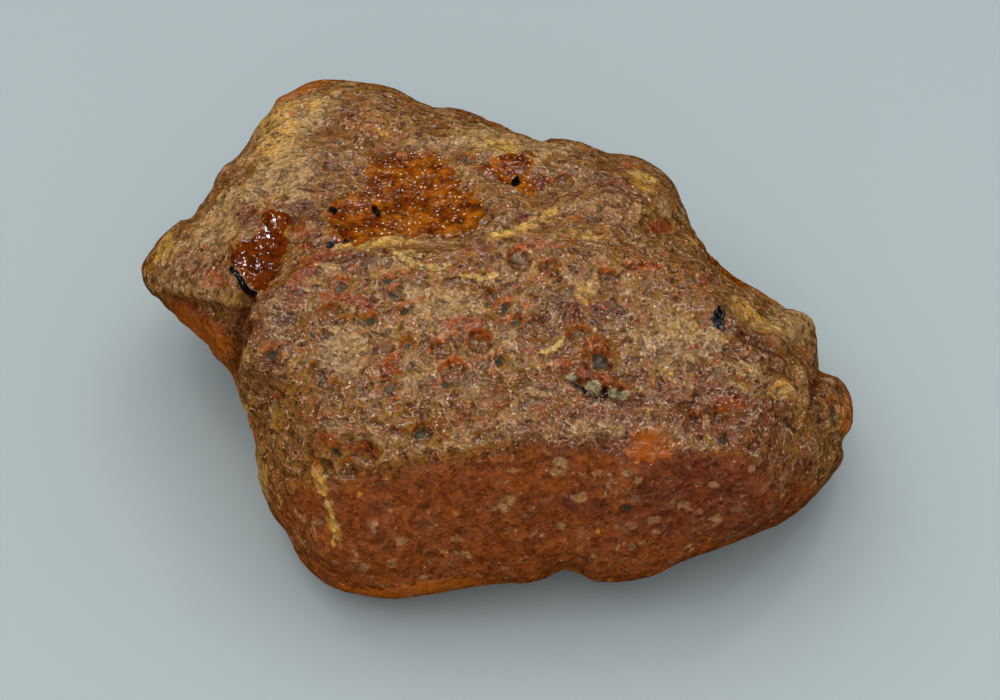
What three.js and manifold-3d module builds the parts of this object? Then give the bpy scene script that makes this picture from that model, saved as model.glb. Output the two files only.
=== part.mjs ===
// Raw carnelian: one weathered lump with a thin, pitted skin, lying on its broadest side.
// Units are millimetres, +Z is up and the stone rests on z = 0.
//
// The surface is star-shaped: each direction from a middle point meets it once. Its radius comes from
// an outline, from flat sides that are softly joined, and from a slightly domed underside. Creases,
// hollows and soft waves then move the surface along its normals, and small round pits are cut last.
import * as THREE from "three";
import { mergeVertices } from "three/addons/utils/BufferGeometryUtils.js";
import Module from "manifold-3d";

// The middle point, over the centre of the space that the stone takes up
const MIDDLE_HEIGHT = 20;
const MIDDLE = new THREE.Vector3(1.25, -8.4, MIDDLE_HEIGHT);

// The outline, the creases, the hollows and the pits are given as they look from above the front:
// x to the right and y up, on a plane through the middle point that faces the eye.
const VIEW_TILT = THREE.MathUtils.degToRad(48);
const VIEW_DISTANCE = 315;
const RIGHT = new THREE.Vector3(1, 0, 0);
const UP = new THREE.Vector3(0, Math.sin(VIEW_TILT), Math.cos(VIEW_TILT));
const NEAR = new THREE.Vector3(0, -Math.cos(VIEW_TILT), Math.sin(VIEW_TILT));

// Outline, once round from the knob at the right, through the top, left lobe and front edge
const OUTLINE = [
  [42.3, 2.7], [40.5, 4.7], [35.7, 7.6], [31.1, 10.1], [27.9, 12.4], [26.7, 14.0], [26.1, 16.7],
  [22.4, 22.7], [18.7, 25.3], [13.3, 26.9], [3.3, 28.8], [-6.0, 32.4], [-9.1, 32.4], [-13.3, 34.5],
  [-23.3, 36.5], [-29.3, 33.7], [-30.7, 31.7], [-38.3, 22.3], [-40.0, 19.2], [-47.6, 12.0],
  [-47.6, 9.3], [-39.1, 0.5], [-36.3, -1.7], [-32.8, -10.7], [-31.9, -18.7], [-28.3, -25.3],
  [-24.3, -30.5], [-16.0, -33.2], [-4.7, -32.0], [1.3, -31.1], [7.6, -30.3], [10.7, -30.5],
  [13.3, -31.2], [16.7, -31.1], [25.3, -27.7], [30.0, -26.4], [38.7, -21.7], [45.1, -14.9],
  [45.5, -12.9], [46.8, -10.0], [46.7, -7.3], [45.3, -4.8], [43.3, -3.2],
];

// Where the outline's rim lies: its slope towards the eye, level and for each unit of "up"
const RIM_SLOPE = -0.175;
const RIM_SLOPE_UP = -0.425;
// How round the stone is across the rim, and how far round the outline is smoothed away from it
const RIM_ROUNDNESS = 0.9;
const RIM_SMOOTHING = THREE.MathUtils.degToRad(14);

// Flat sides: the way each one faces, and its distance from the middle point
const SIDES = [
  { name: "broad top", facing: [0.02, -0.33, 0.94], distance: 16.2 },
  { name: "strip behind the top", facing: [-0.03, 0.16, 0.985], distance: 17.8 },
  { name: "front", facing: [0.05, -0.97, 0.24], distance: 26.4 },
  { name: "left", facing: [-0.78, -0.6, 0.16], distance: 36 },
  { name: "right slope", facing: [0.5, 0.05, 0.86], distance: 28 },
  { name: "back", facing: [0.1, 0.97, 0.22], distance: 50 },
  { name: "under the back", facing: [0.06, 0.72, -0.69], distance: 31 },
  { name: "under the left", facing: [-0.6, 0.2, -0.77], distance: 43 },
  { name: "under the right", facing: [0.62, 0.1, -0.78], distance: 43 },
];
const SIDE_SHARPNESS = 12;
const JOIN_SHARPNESS = 20;
// The underside bulges like this ellipsoid until the resting face cuts it flat
const UNDERSIDE = new THREE.Vector3(80, 70, 21);

// Creases: a groove along a line, with the surface stepping up on the line's right-hand side
const CREASES = [
  {
    name: "shoulder of the main block", groove: 0.7, halfWidth: 1.3, step: 3.2, reach: 7,
    line: [[-35.7, -3.7], [-34.4, 0.7], [-34.1, 4.3], [-31.7, 8], [-27.7, 11.5], [-23.3, 13.3]],
  },
  {
    name: "ledge under the window", groove: 0.3, halfWidth: 1.2, step: 1.1, reach: 5,
    line: [[-24.3, 13.1], [-16, 13.9], [-8, 14.5], [-2, 14.9], [4, 16.5]],
  },
  {
    name: "valley behind the top", groove: 1, halfWidth: 3, step: 0.6, reach: 7,
    line: [[0, 15.2], [8, 16.8], [16, 16.3], [21.3, 14.7], [27.3, 13.6]],
  },
  {
    name: "edge of the right lobe", groove: 0.7, halfWidth: 1.2, step: 1.8, reach: 5,
    line: [[27.3, 10], [31.3, 6.7], [35.3, 3.3], [39.6, 0.7], [43.5, -3.2]],
  },
  {
    name: "fold under the left lobe", groove: 0.9, halfWidth: 1.1, step: -0.6, reach: 4,
    line: [[-44.5, 6.3], [-41.3, 5.1], [-38.1, 4.3], [-34.9, 2.9]],
  },
  {
    name: "edge of the end knob", groove: 0.8, halfWidth: 1.3, step: 0.8, reach: 3,
    line: [[42.1, -1.6], [41.6, -5.6], [42.7, -10], [46.1, -14.1]],
  },
];
const STEP_WIDTH = 1.6;

// Hollows, and swells where the depth is negative: centre, half sizes, turn and depth
const HOLLOWS = [
  { name: "window", at: [-12.7, 20], half: [11.2, 5.9], turn: 8, depth: 1.3 },
  { name: "small window", at: [2.3, 23.2], half: [4.5, 2.4], turn: -5, depth: 0.8 },
  { name: "red window", at: [-31.5, 13.3], half: [4, 5.6], turn: 12, depth: 2 },
  { name: "left ring of pits", at: [-20, -15.5], half: [5.6, 4.3], turn: 0, depth: 1.1 },
  { name: "right ring of pits", at: [27.7, -9.9], half: [5.1, 3.5], turn: 10, depth: 1.1 },
  { name: "dip at the left", at: [-21.6, 3.7], half: [4.8, 3.5], turn: 0, depth: 0.8 },
  { name: "dip at the top", at: [3.6, 11.7], half: [5.1, 3.2], turn: -10, depth: 0.9 },
  { name: "dip in the middle", at: [12.3, 0], half: [4.8, 3.7], turn: 15, depth: 0.8 },
  { name: "notch in the front edge", at: [8.8, -29.1], half: [3.5, 2.1], turn: 0, depth: 0.9 },
  { name: "far left knob", at: [-20.7, 32.3], half: [8, 3.2], turn: -5, depth: -0.8 },
  { name: "right knob", at: [38.7, 3.3], half: [4.5, 2.4], turn: 40, depth: -0.8 },
  { name: "roll of the shoulder", at: [-28.7, -1.3], half: [4.5, 9.3], turn: 8, depth: -0.9 },
  { name: "far right swell", at: [18.7, 21.3], half: [6.7, 4.8], turn: 25, depth: -0.8 },
  { name: "front left swell", at: [-18.7, -25.3], half: [9.3, 4.8], turn: 5, depth: -0.9 },
];

// Soft waves all over the skin, and broader ones on the sides that face away from the eye:
// wavelength, height, number of waves and seed
const SKIN_WAVES = [
  { length: 17, height: 0.5, count: 14, seed: 1 },
  { length: 8, height: 0.3, count: 16, seed: 4 },
];
const FAR_WAVES = [
  { length: 32, height: 2, count: 12, seed: 2.5 },
  { length: 13, height: 0.8, count: 12, seed: 5 },
];
// Waves that make the edge of a hollow uneven: the height is a share of the hollow's size
const EDGE_WAVES = { length: 9, height: 0.18, count: 12, seed: 7 };
// The share by which skin waves are lower on the side towards the eye, and on the rim
const FRONT_CALM = 0.25;
const RIM_CALM = 0.7;
const RIM_WIDTH = 0.16;
// Broad waves stay off the resting face, which has to remain one flat land
const REST_CALM = 0.9;

// Pits that can be seen from above the front: x, y and radius at the rim
const PITS = [
  [-21.3, 8.4, 1.0], [-14.9, 9.2, 0.9], [-12.8, 5.1, 0.8], [-17.3, 3.9, 0.9], [-12.3, 0.7, 0.8],
  [-1.2, 6.9, 1.2], [2.1, 3.7, 1.0], [0.0, -1.2, 1.0], [-7.2, -4.7, 0.9], [-14.7, -5.2, 0.8],
  [-10.3, -11.3, 1.0], [-30.5, -0.9, 1.0], [-21.9, -13.6, 0.8], [-26.0, -25.7, 0.8],
  [16.8, -21.5, 1.0], [44.5, -8.4, 1.3], [29.3, -11.9, 1.1], [-18.3, 34.1, 0.9], [-20.0, 28.0, 0.8],
  [-4.5, 25.6, 1.0], [26.3, 9.5, 1.1], [13.5, -1.2, 1.7], [5.0, 6.2, 1.0], [-5.2, 1.7, 1.3],
  [-2.7, 0.8, 1.4], [-5.9, -2.9, 1.4], [10.8, 1.7, 1.4], [14.4, 9.2, 1.3], [25.6, -9.9, 1.2],
  [-23.3, -15.6, 1.3], [-20.3, -15.9, 1.4], [-17.5, -13.7, 1.3], [-34.3, 9.4, 1.3], [29.2, 4.2, 1.3],
  [8.4, 22.3, 1.4], [-9.5, -18.8, 1.0],
];
// Pits on the sides that cannot be seen from there, spread evenly
const HIDDEN_PITS = 26;
const HIDDEN_PIT_RADIUS = 1.2;
const PIT_DEPTH = 0.8;
const CLEAR_OF_REST = 5;

const GOLDEN_ANGLE = Math.PI * (3 - Math.sqrt(5));
const OUTLINE_SAMPLES = 720;
const STONE_DETAIL = 16;
const PIT_DETAIL = 1;
// Half sizes of the ellipsoid that spreads the mesh points evenly over the stone
const SPREAD = new THREE.Vector3(46, 36, 22);

function softStep(from, to, x) {
  const t = THREE.MathUtils.clamp((x - from) / (to - from), 0, 1);
  return t * t * (3 - 2 * t);
}

// A sum of plane waves in evenly spread directions, between about -1 and 1
function waves(point, { length, count, seed }) {
  let total = 0;
  for (let i = 0; i < count; i += 1) {
    const z = 1 - (2 * i + 1) / count;
    const turn = GOLDEN_ANGLE * i + seed;
    const across = Math.sqrt(1 - z * z);
    const pace = 0.75 + 0.5 * ((i * 0.618 + seed * 0.37) % 1);
    const along = across * (Math.cos(turn) * point.x + Math.sin(turn) * point.y) + z * point.z;
    total += Math.sin((2 * Math.PI / length) * pace * along + 1.7 * i * i + seed);
  }
  return total / Math.sqrt(count);
}

function waveHeight(point, list) {
  return list.reduce((sum, wave) => sum + wave.height * waves(point, wave), 0);
}

// The outline's distance from the middle point, sampled once round as a smooth curve in angle
function sampleOutline() {
  const angles = OUTLINE.map(([x, y]) => Math.atan2(y, x));
  const radii = OUTLINE.map(([x, y]) => Math.hypot(x, y));
  const start = angles[0];
  const count = OUTLINE.length;
  const angleOf = (i) => {
    const lap = Math.floor(i / count);
    const angle = angles[i - lap * count];
    return angle + 2 * Math.PI * (lap + (angle < start - 1e-9 ? 1 : 0));
  };
  const radiusOf = (i) => radii[((i % count) + count) % count];
  const slopeOf = (i) => (radiusOf(i + 1) - radiusOf(i - 1)) / (angleOf(i + 1) - angleOf(i - 1));
  const samples = [];
  let i = 0;
  for (let k = 0; k < OUTLINE_SAMPLES; k += 1) {
    const angle = start + (2 * Math.PI * k) / OUTLINE_SAMPLES;
    while (angleOf(i + 1) <= angle) {
      i += 1;
    }
    const gap = angleOf(i + 1) - angleOf(i);
    const t = (angle - angleOf(i)) / gap;
    const rise = t * t * (3 - 2 * t);
    const leave = t * (1 - t) * (1 - t) * gap * slopeOf(i);
    const arrive = t * t * (t - 1) * gap * slopeOf(i + 1);
    samples.push((1 - rise) * radiusOf(i) + rise * radiusOf(i + 1) + leave + arrive);
  }
  return { start, samples };
}

// The same samples, each one a weighted mean of its neighbours
function smoothed(samples, width) {
  const spread = (width * OUTLINE_SAMPLES) / (2 * Math.PI);
  const reach = Math.ceil(3 * spread);
  return samples.map((_, k) => {
    let sum = 0;
    let weights = 0;
    for (let j = -reach; j <= reach; j += 1) {
      const weight = Math.exp(-0.5 * (j / spread) ** 2);
      sum += weight * samples[(k + j + 2 * OUTLINE_SAMPLES) % OUTLINE_SAMPLES];
      weights += weight;
    }
    return sum / weights;
  });
}

const outline = sampleOutline();
const softOutline = smoothed(outline.samples, RIM_SMOOTHING);

function readSamples(samples, angle) {
  const turns = (angle - outline.start) / (2 * Math.PI);
  const place = (turns - Math.floor(turns)) * OUTLINE_SAMPLES;
  const k = Math.floor(place) % OUTLINE_SAMPLES;
  return THREE.MathUtils.lerp(samples[k], samples[(k + 1) % OUTLINE_SAMPLES], place - Math.floor(place));
}

// How far a direction leans from the rim: positive towards the eye, negative away from it
function rimLean(direction) {
  const up = direction.dot(UP);
  const across = Math.max(Math.hypot(direction.dot(RIGHT), up), 1e-6);
  return direction.dot(NEAR) / across - (RIM_SLOPE + RIM_SLOPE_UP * (up / across));
}

// One over the radius at which a direction reaches the rim's rounded edge. The outline itself is
// never passed: seen from the eye, every point stays within it.
function inverseRim(direction) {
  const right = direction.dot(RIGHT);
  const up = direction.dot(UP);
  const across = Math.max(Math.hypot(right, up), 1e-6);
  const angle = Math.atan2(up, right);
  const lean = rimLean(direction);
  const exact = readSamples(outline.samples, angle);
  const soft = readSamples(softOutline, angle);
  const radius = THREE.MathUtils.lerp(exact, soft, softStep(0.05, 0.5, Math.abs(lean)));
  const rounding = Math.sqrt(1 + (lean / RIM_ROUNDNESS) ** 2);
  const towardsEye = direction.dot(NEAR) / VIEW_DISTANCE;
  return Math.max((across / radius) * rounding + towardsEye, across / exact + towardsEye, 1e-6);
}

function inverseSides(direction) {
  let sum = 0;
  for (const { facing, distance } of SIDES) {
    const cosine = direction.dot(new THREE.Vector3(...facing).normalize());
    sum += (Math.max(cosine, 0) / distance) ** SIDE_SHARPNESS;
  }
  return sum ** (1 / SIDE_SHARPNESS);
}

// The radius in one direction: rim, sides and underside, softly joined
function radiusAlong(direction) {
  const parts = [
    inverseRim(direction),
    inverseSides(direction),
    direction.clone().divide(UNDERSIDE).length(),
  ];
  const sum = parts.reduce((total, inverse) => total + inverse ** JOIN_SHARPNESS, 0);
  return sum ** (-1 / JOIN_SHARPNESS);
}

// Where a point appears on the plane through the middle point
function seenAt(point) {
  const scale = VIEW_DISTANCE / (VIEW_DISTANCE - point.dot(NEAR));
  return new THREE.Vector2(point.dot(RIGHT) * scale, point.dot(UP) * scale);
}

function creaseHeight(seen, { line, groove, halfWidth, step, reach }) {
  let nearest = { distance: Infinity, side: 0, along: 0 };
  for (let i = 0; i < line.length - 1; i += 1) {
    const start = new THREE.Vector2(...line[i]);
    const run = new THREE.Vector2(...line[i + 1]).sub(start);
    const offset = seen.clone().sub(start);
    const t = THREE.MathUtils.clamp(offset.dot(run) / run.lengthSq(), 0, 1);
    const distance = offset.clone().addScaledVector(run, -t).length();
    if (distance < nearest.distance) {
      nearest = { distance, side: Math.sign(run.cross(offset)), along: (i + t) / (line.length - 1) };
    }
  }
  const fade = softStep(0, 0.15, nearest.along) * softStep(1, 0.85, nearest.along);
  const toTheRight = -nearest.distance * nearest.side;
  const stepHeight = 0.5 * step * Math.tanh(toTheRight / STEP_WIDTH);
  const stepFade = Math.exp(-((nearest.distance / reach) ** 2));
  return fade * (stepHeight * stepFade - groove * Math.exp(-((nearest.distance / halfWidth) ** 2)));
}

function hollowHeight(seen, edge, { at, half, turn, depth }) {
  const offset = seen.clone().sub(new THREE.Vector2(...at));
  offset.rotateAround(new THREE.Vector2(), -THREE.MathUtils.degToRad(turn));
  const reach = Math.hypot(offset.x / half[0], offset.y / half[1]) * (1 + edge);
  return -depth * softStep(1.25, 0.35, reach);
}

// Height of the creases, hollows and waves over the plain form
function relief(point) {
  const direction = point.clone().normalize();
  const lean = rimLean(direction);
  const front = softStep(-0.2, 0, lean);
  const atRim = Math.exp(-((lean / RIM_WIDTH) ** 2));
  const under = softStep(-0.5, -0.9, direction.z);
  const seen = seenAt(point);
  const edge = EDGE_WAVES.height * waves(point, EDGE_WAVES);
  const away = softStep(-0.1, -0.6, lean);
  let height = waveHeight(point, SKIN_WAVES) * (1 - FRONT_CALM * front) * (1 - RIM_CALM * atRim);
  height += waveHeight(point, FAR_WAVES) * away * (1 - REST_CALM * under);
  for (const crease of CREASES) {
    height += front * creaseHeight(seen, crease);
  }
  for (const hollow of HOLLOWS) {
    height += front * hollowHeight(seen, edge, hollow);
  }
  return height;
}

function ball(detail) {
  const geometry = new THREE.IcosahedronGeometry(1, detail);
  geometry.deleteAttribute("normal");
  geometry.deleteAttribute("uv");
  return mergeVertices(geometry, 1e-4);
}

// The whole stone before its pits, with its resting face on z = 0
function stoneForm() {
  const geometry = ball(STONE_DETAIL);
  const position = geometry.attributes.position;
  const point = new THREE.Vector3();
  const normal = new THREE.Vector3();
  for (let i = 0; i < position.count; i += 1) {
    point.fromBufferAttribute(position, i).multiply(SPREAD).normalize();
    point.multiplyScalar(radiusAlong(point));
    position.setXYZ(i, point.x, point.y, point.z);
  }
  geometry.computeVertexNormals();
  for (let i = 0; i < position.count; i += 1) {
    point.fromBufferAttribute(position, i);
    normal.fromBufferAttribute(geometry.attributes.normal, i);
    point.addScaledVector(normal, relief(point));
    const rests = point.z < -MIDDLE_HEIGHT;
    if (rests) {
      point.multiplyScalar(-MIDDLE_HEIGHT / point.z);
    }
    point.add(MIDDLE);
    position.setXYZ(i, point.x, point.y, rests ? 0 : point.z);
  }
  geometry.computeVertexNormals();
  return geometry;
}

// The spot that a sight line meets first, with the way the surface faces there
function meet(target, origin, direction) {
  const [hit] = new THREE.Raycaster(origin, direction).intersectObject(target);
  return { point: hit.point, normal: hit.face.normal };
}

function seenPits(target) {
  const eye = MIDDLE.clone().addScaledVector(NEAR, VIEW_DISTANCE);
  return PITS.map(([x, y, radius]) => {
    const through = MIDDLE.clone().addScaledVector(RIGHT, x).addScaledVector(UP, y);
    return { ...meet(target, eye, through.sub(eye).normalize()), radius };
  });
}

function hiddenPits(target) {
  const pits = [];
  for (let i = 0; i < HIDDEN_PITS; i += 1) {
    const z = 1 - (2 * i + 1) / HIDDEN_PITS;
    const across = Math.sqrt(1 - z * z);
    const turn = GOLDEN_ANGLE * i;
    const outward = new THREE.Vector3(across * Math.cos(turn), across * Math.sin(turn), z);
    outward.multiply(SPREAD).normalize();
    const far = MIDDLE.clone().addScaledVector(outward, VIEW_DISTANCE);
    const spot = meet(target, far, outward.clone().negate());
    if (rimLean(outward) < -0.15 && spot.point.z > CLEAR_OF_REST) {
      pits.push({ ...spot, radius: HIDDEN_PIT_RADIUS * (0.75 + 0.5 * ((i * 0.618) % 1)) });
    }
  }
  return pits;
}

// A pit is the part of a ball that dips PIT_DEPTH radii under the surface
function pitForm({ point, normal, radius }) {
  const depth = PIT_DEPTH * radius;
  const ballRadius = (radius * radius + depth * depth) / (2 * depth);
  const centre = point.clone().addScaledVector(normal, ballRadius - depth);
  return ball(PIT_DETAIL).scale(ballRadius, ballRadius, ballRadius).translate(...centre);
}

const wasm = await Module();
wasm.setup();

function asSolid(geometry) {
  return new wasm.Manifold(new wasm.Mesh({
    numProp: 3,
    vertProperties: new Float32Array(geometry.attributes.position.array),
    triVerts: new Uint32Array(geometry.index.array),
  }));
}

function asGeometry(solid) {
  const { vertProperties, triVerts } = solid.getMesh();
  const geometry = new THREE.BufferGeometry();
  geometry.setAttribute("position", new THREE.BufferAttribute(vertProperties, 3));
  geometry.setIndex(new THREE.BufferAttribute(triVerts, 1));
  geometry.computeVertexNormals();
  return geometry;
}

function buildStone() {
  const form = stoneForm();
  const target = new THREE.Mesh(form);
  target.updateMatrixWorld();
  let solid = asSolid(form);
  for (const pit of [...seenPits(target), ...hiddenPits(target)]) {
    solid = solid.subtract(asSolid(pitForm(pit)));
  }
  const skin = new THREE.MeshStandardMaterial({ color: 0x7f5434, roughness: 0.35, metalness: 0 });
  const stone = new THREE.Mesh(asGeometry(solid), skin);
  stone.name = "carnelian";
  return stone;
}

const carnelian = new THREE.Group();
carnelian.add(buildStone());

export default carnelian;
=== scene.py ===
# %% [markdown]
# # A lump of raw carnelian
# The real object is one weathered lump of stone, as broad as a palm. A thin pinkish-tan skin, full of
# small pits, lies over translucent orange to red stone, which shows where the skin is gone: in two
# honey-coloured windows, a red hollow and the thin edges. The whole lump is one mesh here, because it
# grew as one piece. It is worked out as a surface, and its colours come from nodes and from masks
# that are stored on the mesh.

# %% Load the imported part
import bpy
import numpy as np
from mathutils import Matrix, Vector


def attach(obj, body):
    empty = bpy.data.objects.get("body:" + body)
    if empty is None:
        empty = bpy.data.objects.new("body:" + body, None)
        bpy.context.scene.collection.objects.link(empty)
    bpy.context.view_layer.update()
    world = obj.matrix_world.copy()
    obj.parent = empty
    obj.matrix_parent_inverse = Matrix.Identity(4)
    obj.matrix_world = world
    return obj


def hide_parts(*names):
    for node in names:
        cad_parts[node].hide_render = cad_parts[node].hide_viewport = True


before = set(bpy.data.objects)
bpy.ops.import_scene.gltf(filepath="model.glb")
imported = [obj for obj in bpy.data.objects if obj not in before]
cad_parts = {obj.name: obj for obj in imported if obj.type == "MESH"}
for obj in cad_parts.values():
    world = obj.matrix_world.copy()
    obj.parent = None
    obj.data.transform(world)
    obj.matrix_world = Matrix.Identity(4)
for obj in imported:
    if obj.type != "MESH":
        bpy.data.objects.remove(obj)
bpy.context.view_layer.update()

# %% [markdown]
# ## The eye
# A camera could be turned by angles, but this one is placed by three directions, because the outline
# of the stone is also described as it looks from there. "Right" and "up" span the picture, and
# "near" points from the stone's middle to the eye. Shapes are worked out in millimetres.

# %% Camera
METRE = 0.001
MIDDLE = np.array([1.25, -8.4, 20.0])
MIDDLE_HEIGHT = MIDDLE[2]
VIEW_TILT = np.radians(48.0)
VIEW_DISTANCE = 315.0
LENS = 85.0
RIGHT = np.array([1.0, 0.0, 0.0])
UP = np.array([0.0, np.sin(VIEW_TILT), np.cos(VIEW_TILT)])
NEAR = np.array([0.0, -np.cos(VIEW_TILT), np.sin(VIEW_TILT)])


def link(thing):
    """Put an object in the scene."""
    bpy.context.scene.collection.objects.link(thing)
    return thing


def add_camera():
    """A long lens at the eye: the columns of its turning matrix are right, up and near."""
    camera = link(bpy.data.objects.new("camera", bpy.data.cameras.new("camera")))
    camera.data.lens = LENS
    turn = Matrix(np.stack([RIGHT, UP, NEAR], axis=1).tolist()).to_4x4()
    camera.matrix_world = Matrix.Translation(Vector((MIDDLE + NEAR * VIEW_DISTANCE) * METRE)) @ turn
    bpy.context.scene.camera = camera
    return camera


camera = add_camera()
bpy.context.scene.view_settings.view_transform = "Standard"
print("camera at", [round(x, 3) for x in camera.location])

# %% [markdown]
# ## Soft studio light on a pale sheet
# The stone lies on a smooth sheet of pale grey. A very large lamp hangs over it, so that its shadow is
# soft and gathers close to it. Mirrored in a wet skin, such a lamp would be a grey veil over the
# colours. So each lamp has one job: the large ones only shade, and small ones at the sides only make
# glints. The sheet and the dim sky, which keeps the shadows from turning black, aren't mirrored.


# %% Floor and lamps
def srgb(red, green, blue):
    """A colour given as 0 to 255 on a screen, turned into amounts of light."""
    share = np.array([red, green, blue]) / 255
    light = np.where(share <= 0.04045, share / 12.92, ((share + 0.055) / 1.055) ** 2.4)
    return (*light.tolist(), 1.0)


def add_lamp(name, offset, size, watts, tint, glints=False):
    """A square lamp that faces the stone from an offset in metres: it only shades or only glints."""
    lamp = link(bpy.data.objects.new(name, bpy.data.lights.new(name, "AREA")))
    lamp.data.size = size
    lamp.data.energy = watts
    lamp.data.color = tint
    lamp.visible_glossy = glints
    lamp.visible_diffuse = not glints
    lamp.location = Vector(MIDDLE * METRE) + Vector(offset)
    lamp.rotation_mode = "QUATERNION"
    lamp.rotation_quaternion = Vector(offset).to_track_quat("Z", "Y")
    return lamp


def add_floor(half_size=3.0):
    """A plain square sheet of pale grey, which isn't seen in reflections."""
    mesh = bpy.data.meshes.new("floor")
    corners = [(-half_size, -half_size, 0), (half_size, -half_size, 0)]
    corners += [(half_size, half_size, 0), (-half_size, half_size, 0)]
    mesh.from_pydata(corners, [], [(0, 1, 2, 3)])
    floor = link(bpy.data.objects.new("floor", mesh))
    paper = bpy.data.materials.new("pale_sheet")
    paper.use_nodes = True
    surface = paper.node_tree.nodes["Principled BSDF"]
    surface.inputs["Base Color"].default_value = srgb(171, 179, 179)
    surface.inputs["Roughness"].default_value = 0.55
    mesh.materials.append(paper)
    floor.visible_glossy = False
    return floor


add_floor()
add_lamp("overhead_light", (-0.30, 0.26, 1.0), 1.7, 8.0, (1.0, 1.0, 0.98))
add_lamp("front_light", (0.0, -1.2, 0.70), 0.9, 2.2, (1.0, 0.99, 0.97))
add_lamp("left_glints", (-0.34, 0.22, 0.92), 0.12, 2.9, (1.0, 0.99, 0.95), glints=True)
add_lamp("right_glints", (0.34, 0.10, 0.92), 0.12, 2.7, (1.0, 0.99, 0.97), glints=True)
add_lamp("far_glints", (0.24, 0.42, 0.88), 0.12, 2.4, (1.0, 0.99, 0.97), glints=True)
sky = bpy.data.worlds.new("sky")
sky.use_nodes = True
sky.node_tree.nodes["Background"].inputs["Color"].default_value = srgb(215, 226, 232)
sky.node_tree.nodes["Background"].inputs["Strength"].default_value = 0.94
sky.cycles_visibility.glossy = False
bpy.context.scene.world = sky

# %% [markdown]
# ## The outline
# A lump like this could be sculpted, but then nothing about it could be measured or changed. Here it
# is star-shaped: every direction from the middle meets the surface once, so one function gives its
# radius. The first part of that function is the outline, read at listed points and joined by a
# smooth curve in angle.

# %% Outline
OUTLINE = np.array([
    (42.9, 0.0), (42.5, 2.5), (40.9, 4.1), (39.0, 5.3), (36.7, 6.7), (34.3, 8.0), (31.3, 9.5),
    (29.0, 10.8), (27.1, 13.0), (26.5, 15.0), (25.3, 18.0), (24.0, 20.3), (22.8, 22.1), (21.0, 23.7),
    (18.3, 25.0), (15.3, 26.0), (12.0, 26.9), (9.0, 27.8), (6.8, 28.0), (5.5, 27.6), (1.7, 29.0),
    (-1.3, 30.5), (-3.3, 31.6), (-6.0, 32.3), (-9.1, 32.4), (-11.0, 33.2), (-13.3, 34.5),
    (-17.5, 35.9), (-20.9, 36.6), (-24.0, 36.7), (-26.1, 36.1), (-28.0, 34.8), (-29.7, 33.6),
    (-30.3, 32.2), (-32.3, 29.8), (-33.6, 27.8), (-35.5, 25.5), (-36.7, 24.6), (-37.9, 22.9),
    (-38.4, 21.2), (-40.0, 19.1), (-41.5, 17.4), (-42.7, 17.0), (-45.3, 14.8), (-47.0, 12.8),
    (-47.9, 10.9), (-47.5, 8.5), (-46.4, 6.9), (-44.4, 4.7), (-43.1, 3.4), (-41.6, 2.3), (-39.5, 0.2),
    (-37.3, -1.5), (-35.5, -2.8), (-34.6, -4.9), (-33.7, -7.2), (-33.0, -9.6), (-32.5, -11.1),
    (-32.5, -14.7), (-32.0, -17.6), (-31.5, -19.7), (-30.7, -22.0), (-29.6, -23.6), (-28.4, -25.0),
    (-27.3, -26.9), (-26.2, -28.8), (-24.3, -30.6), (-21.8, -32.0), (-18.9, -32.8), (-16.2, -33.3),
    (-12.9, -33.3), (-8.9, -32.8), (-4.0, -31.8), (0.0, -31.2), (4.0, -30.9), (6.7, -30.2),
    (8.8, -29.7), (10.5, -30.0), (12.0, -30.8), (13.1, -31.1), (15.2, -31.1), (17.9, -30.8),
    (20.8, -29.9), (23.7, -28.5), (26.7, -27.4), (29.9, -26.5), (32.8, -25.3), (35.5, -24.0),
    (37.5, -23.2), (39.7, -21.7), (41.7, -19.9), (43.5, -17.9), (45.1, -15.8), (45.7, -14.4),
    (46.0, -12.7), (46.9, -10.8), (47.2, -9.2), (47.1, -7.2), (46.3, -5.0), (44.8, -3.4), (43.1, -2.8),
])
OUTLINE_SAMPLES = 1440
RIM_SLOPE = -0.175
RIM_SLOPE_UP = -0.425
RIM_ROUNDNESS = 0.9
RIM_SMOOTHING = np.radians(14.0)
FULL_TURN = 2 * np.pi


def soft_step(start, end, x):
    """0 before start, 1 after end, and the curve 3t*t - 2t*t*t in between."""
    t = np.clip((x - start) / (end - start), 0.0, 1.0)
    return t * t * (3 - 2 * t)


def sample_outline():
    """The outline's radius at even angles: a cubic through the points, with mean slopes at each."""
    angle = np.unwrap(np.arctan2(OUTLINE[:, 1], OUTLINE[:, 0]))
    radius = np.hypot(OUTLINE[:, 0], OUTLINE[:, 1])
    angle = np.concatenate([angle[-2:] - FULL_TURN, angle, angle[:2] + FULL_TURN])
    radius = np.concatenate([radius[-2:], radius, radius[:2]])
    slope = np.zeros_like(radius)
    slope[1:-1] = (radius[2:] - radius[:-2]) / (angle[2:] - angle[:-2])
    at = angle[2] + np.linspace(0, FULL_TURN, OUTLINE_SAMPLES, endpoint=False)
    i = np.searchsorted(angle, at, side="right") - 1
    gap = angle[i + 1] - angle[i]
    t = (at - angle[i]) / gap
    rise = t * t * (3 - 2 * t)
    leave = t * (1 - t) ** 2 * gap * slope[i]
    arrive = t * t * (t - 1) * gap * slope[i + 1]
    return at, (1 - rise) * radius[i] + rise * radius[i + 1] + leave + arrive


def smooth_round(samples, width):
    """Each sample becomes the mean of its neighbours, weighted by a bell curve in angle."""
    offset = np.arange(OUTLINE_SAMPLES) - OUTLINE_SAMPLES // 2
    bell = np.exp(-0.5 * (offset * FULL_TURN / OUTLINE_SAMPLES / width) ** 2)
    spectrum = np.fft.rfft(samples) * np.fft.rfft(np.fft.ifftshift(bell / bell.sum()))
    return np.fft.irfft(spectrum, OUTLINE_SAMPLES)


OUTLINE_ANGLES, OUTLINE_RADII = sample_outline()
SOFT_RADII = smooth_round(OUTLINE_RADII, RIM_SMOOTHING)
print("outline radius from", OUTLINE_RADII.min().round(1), "to", OUTLINE_RADII.max().round(1), "mm")

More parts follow.
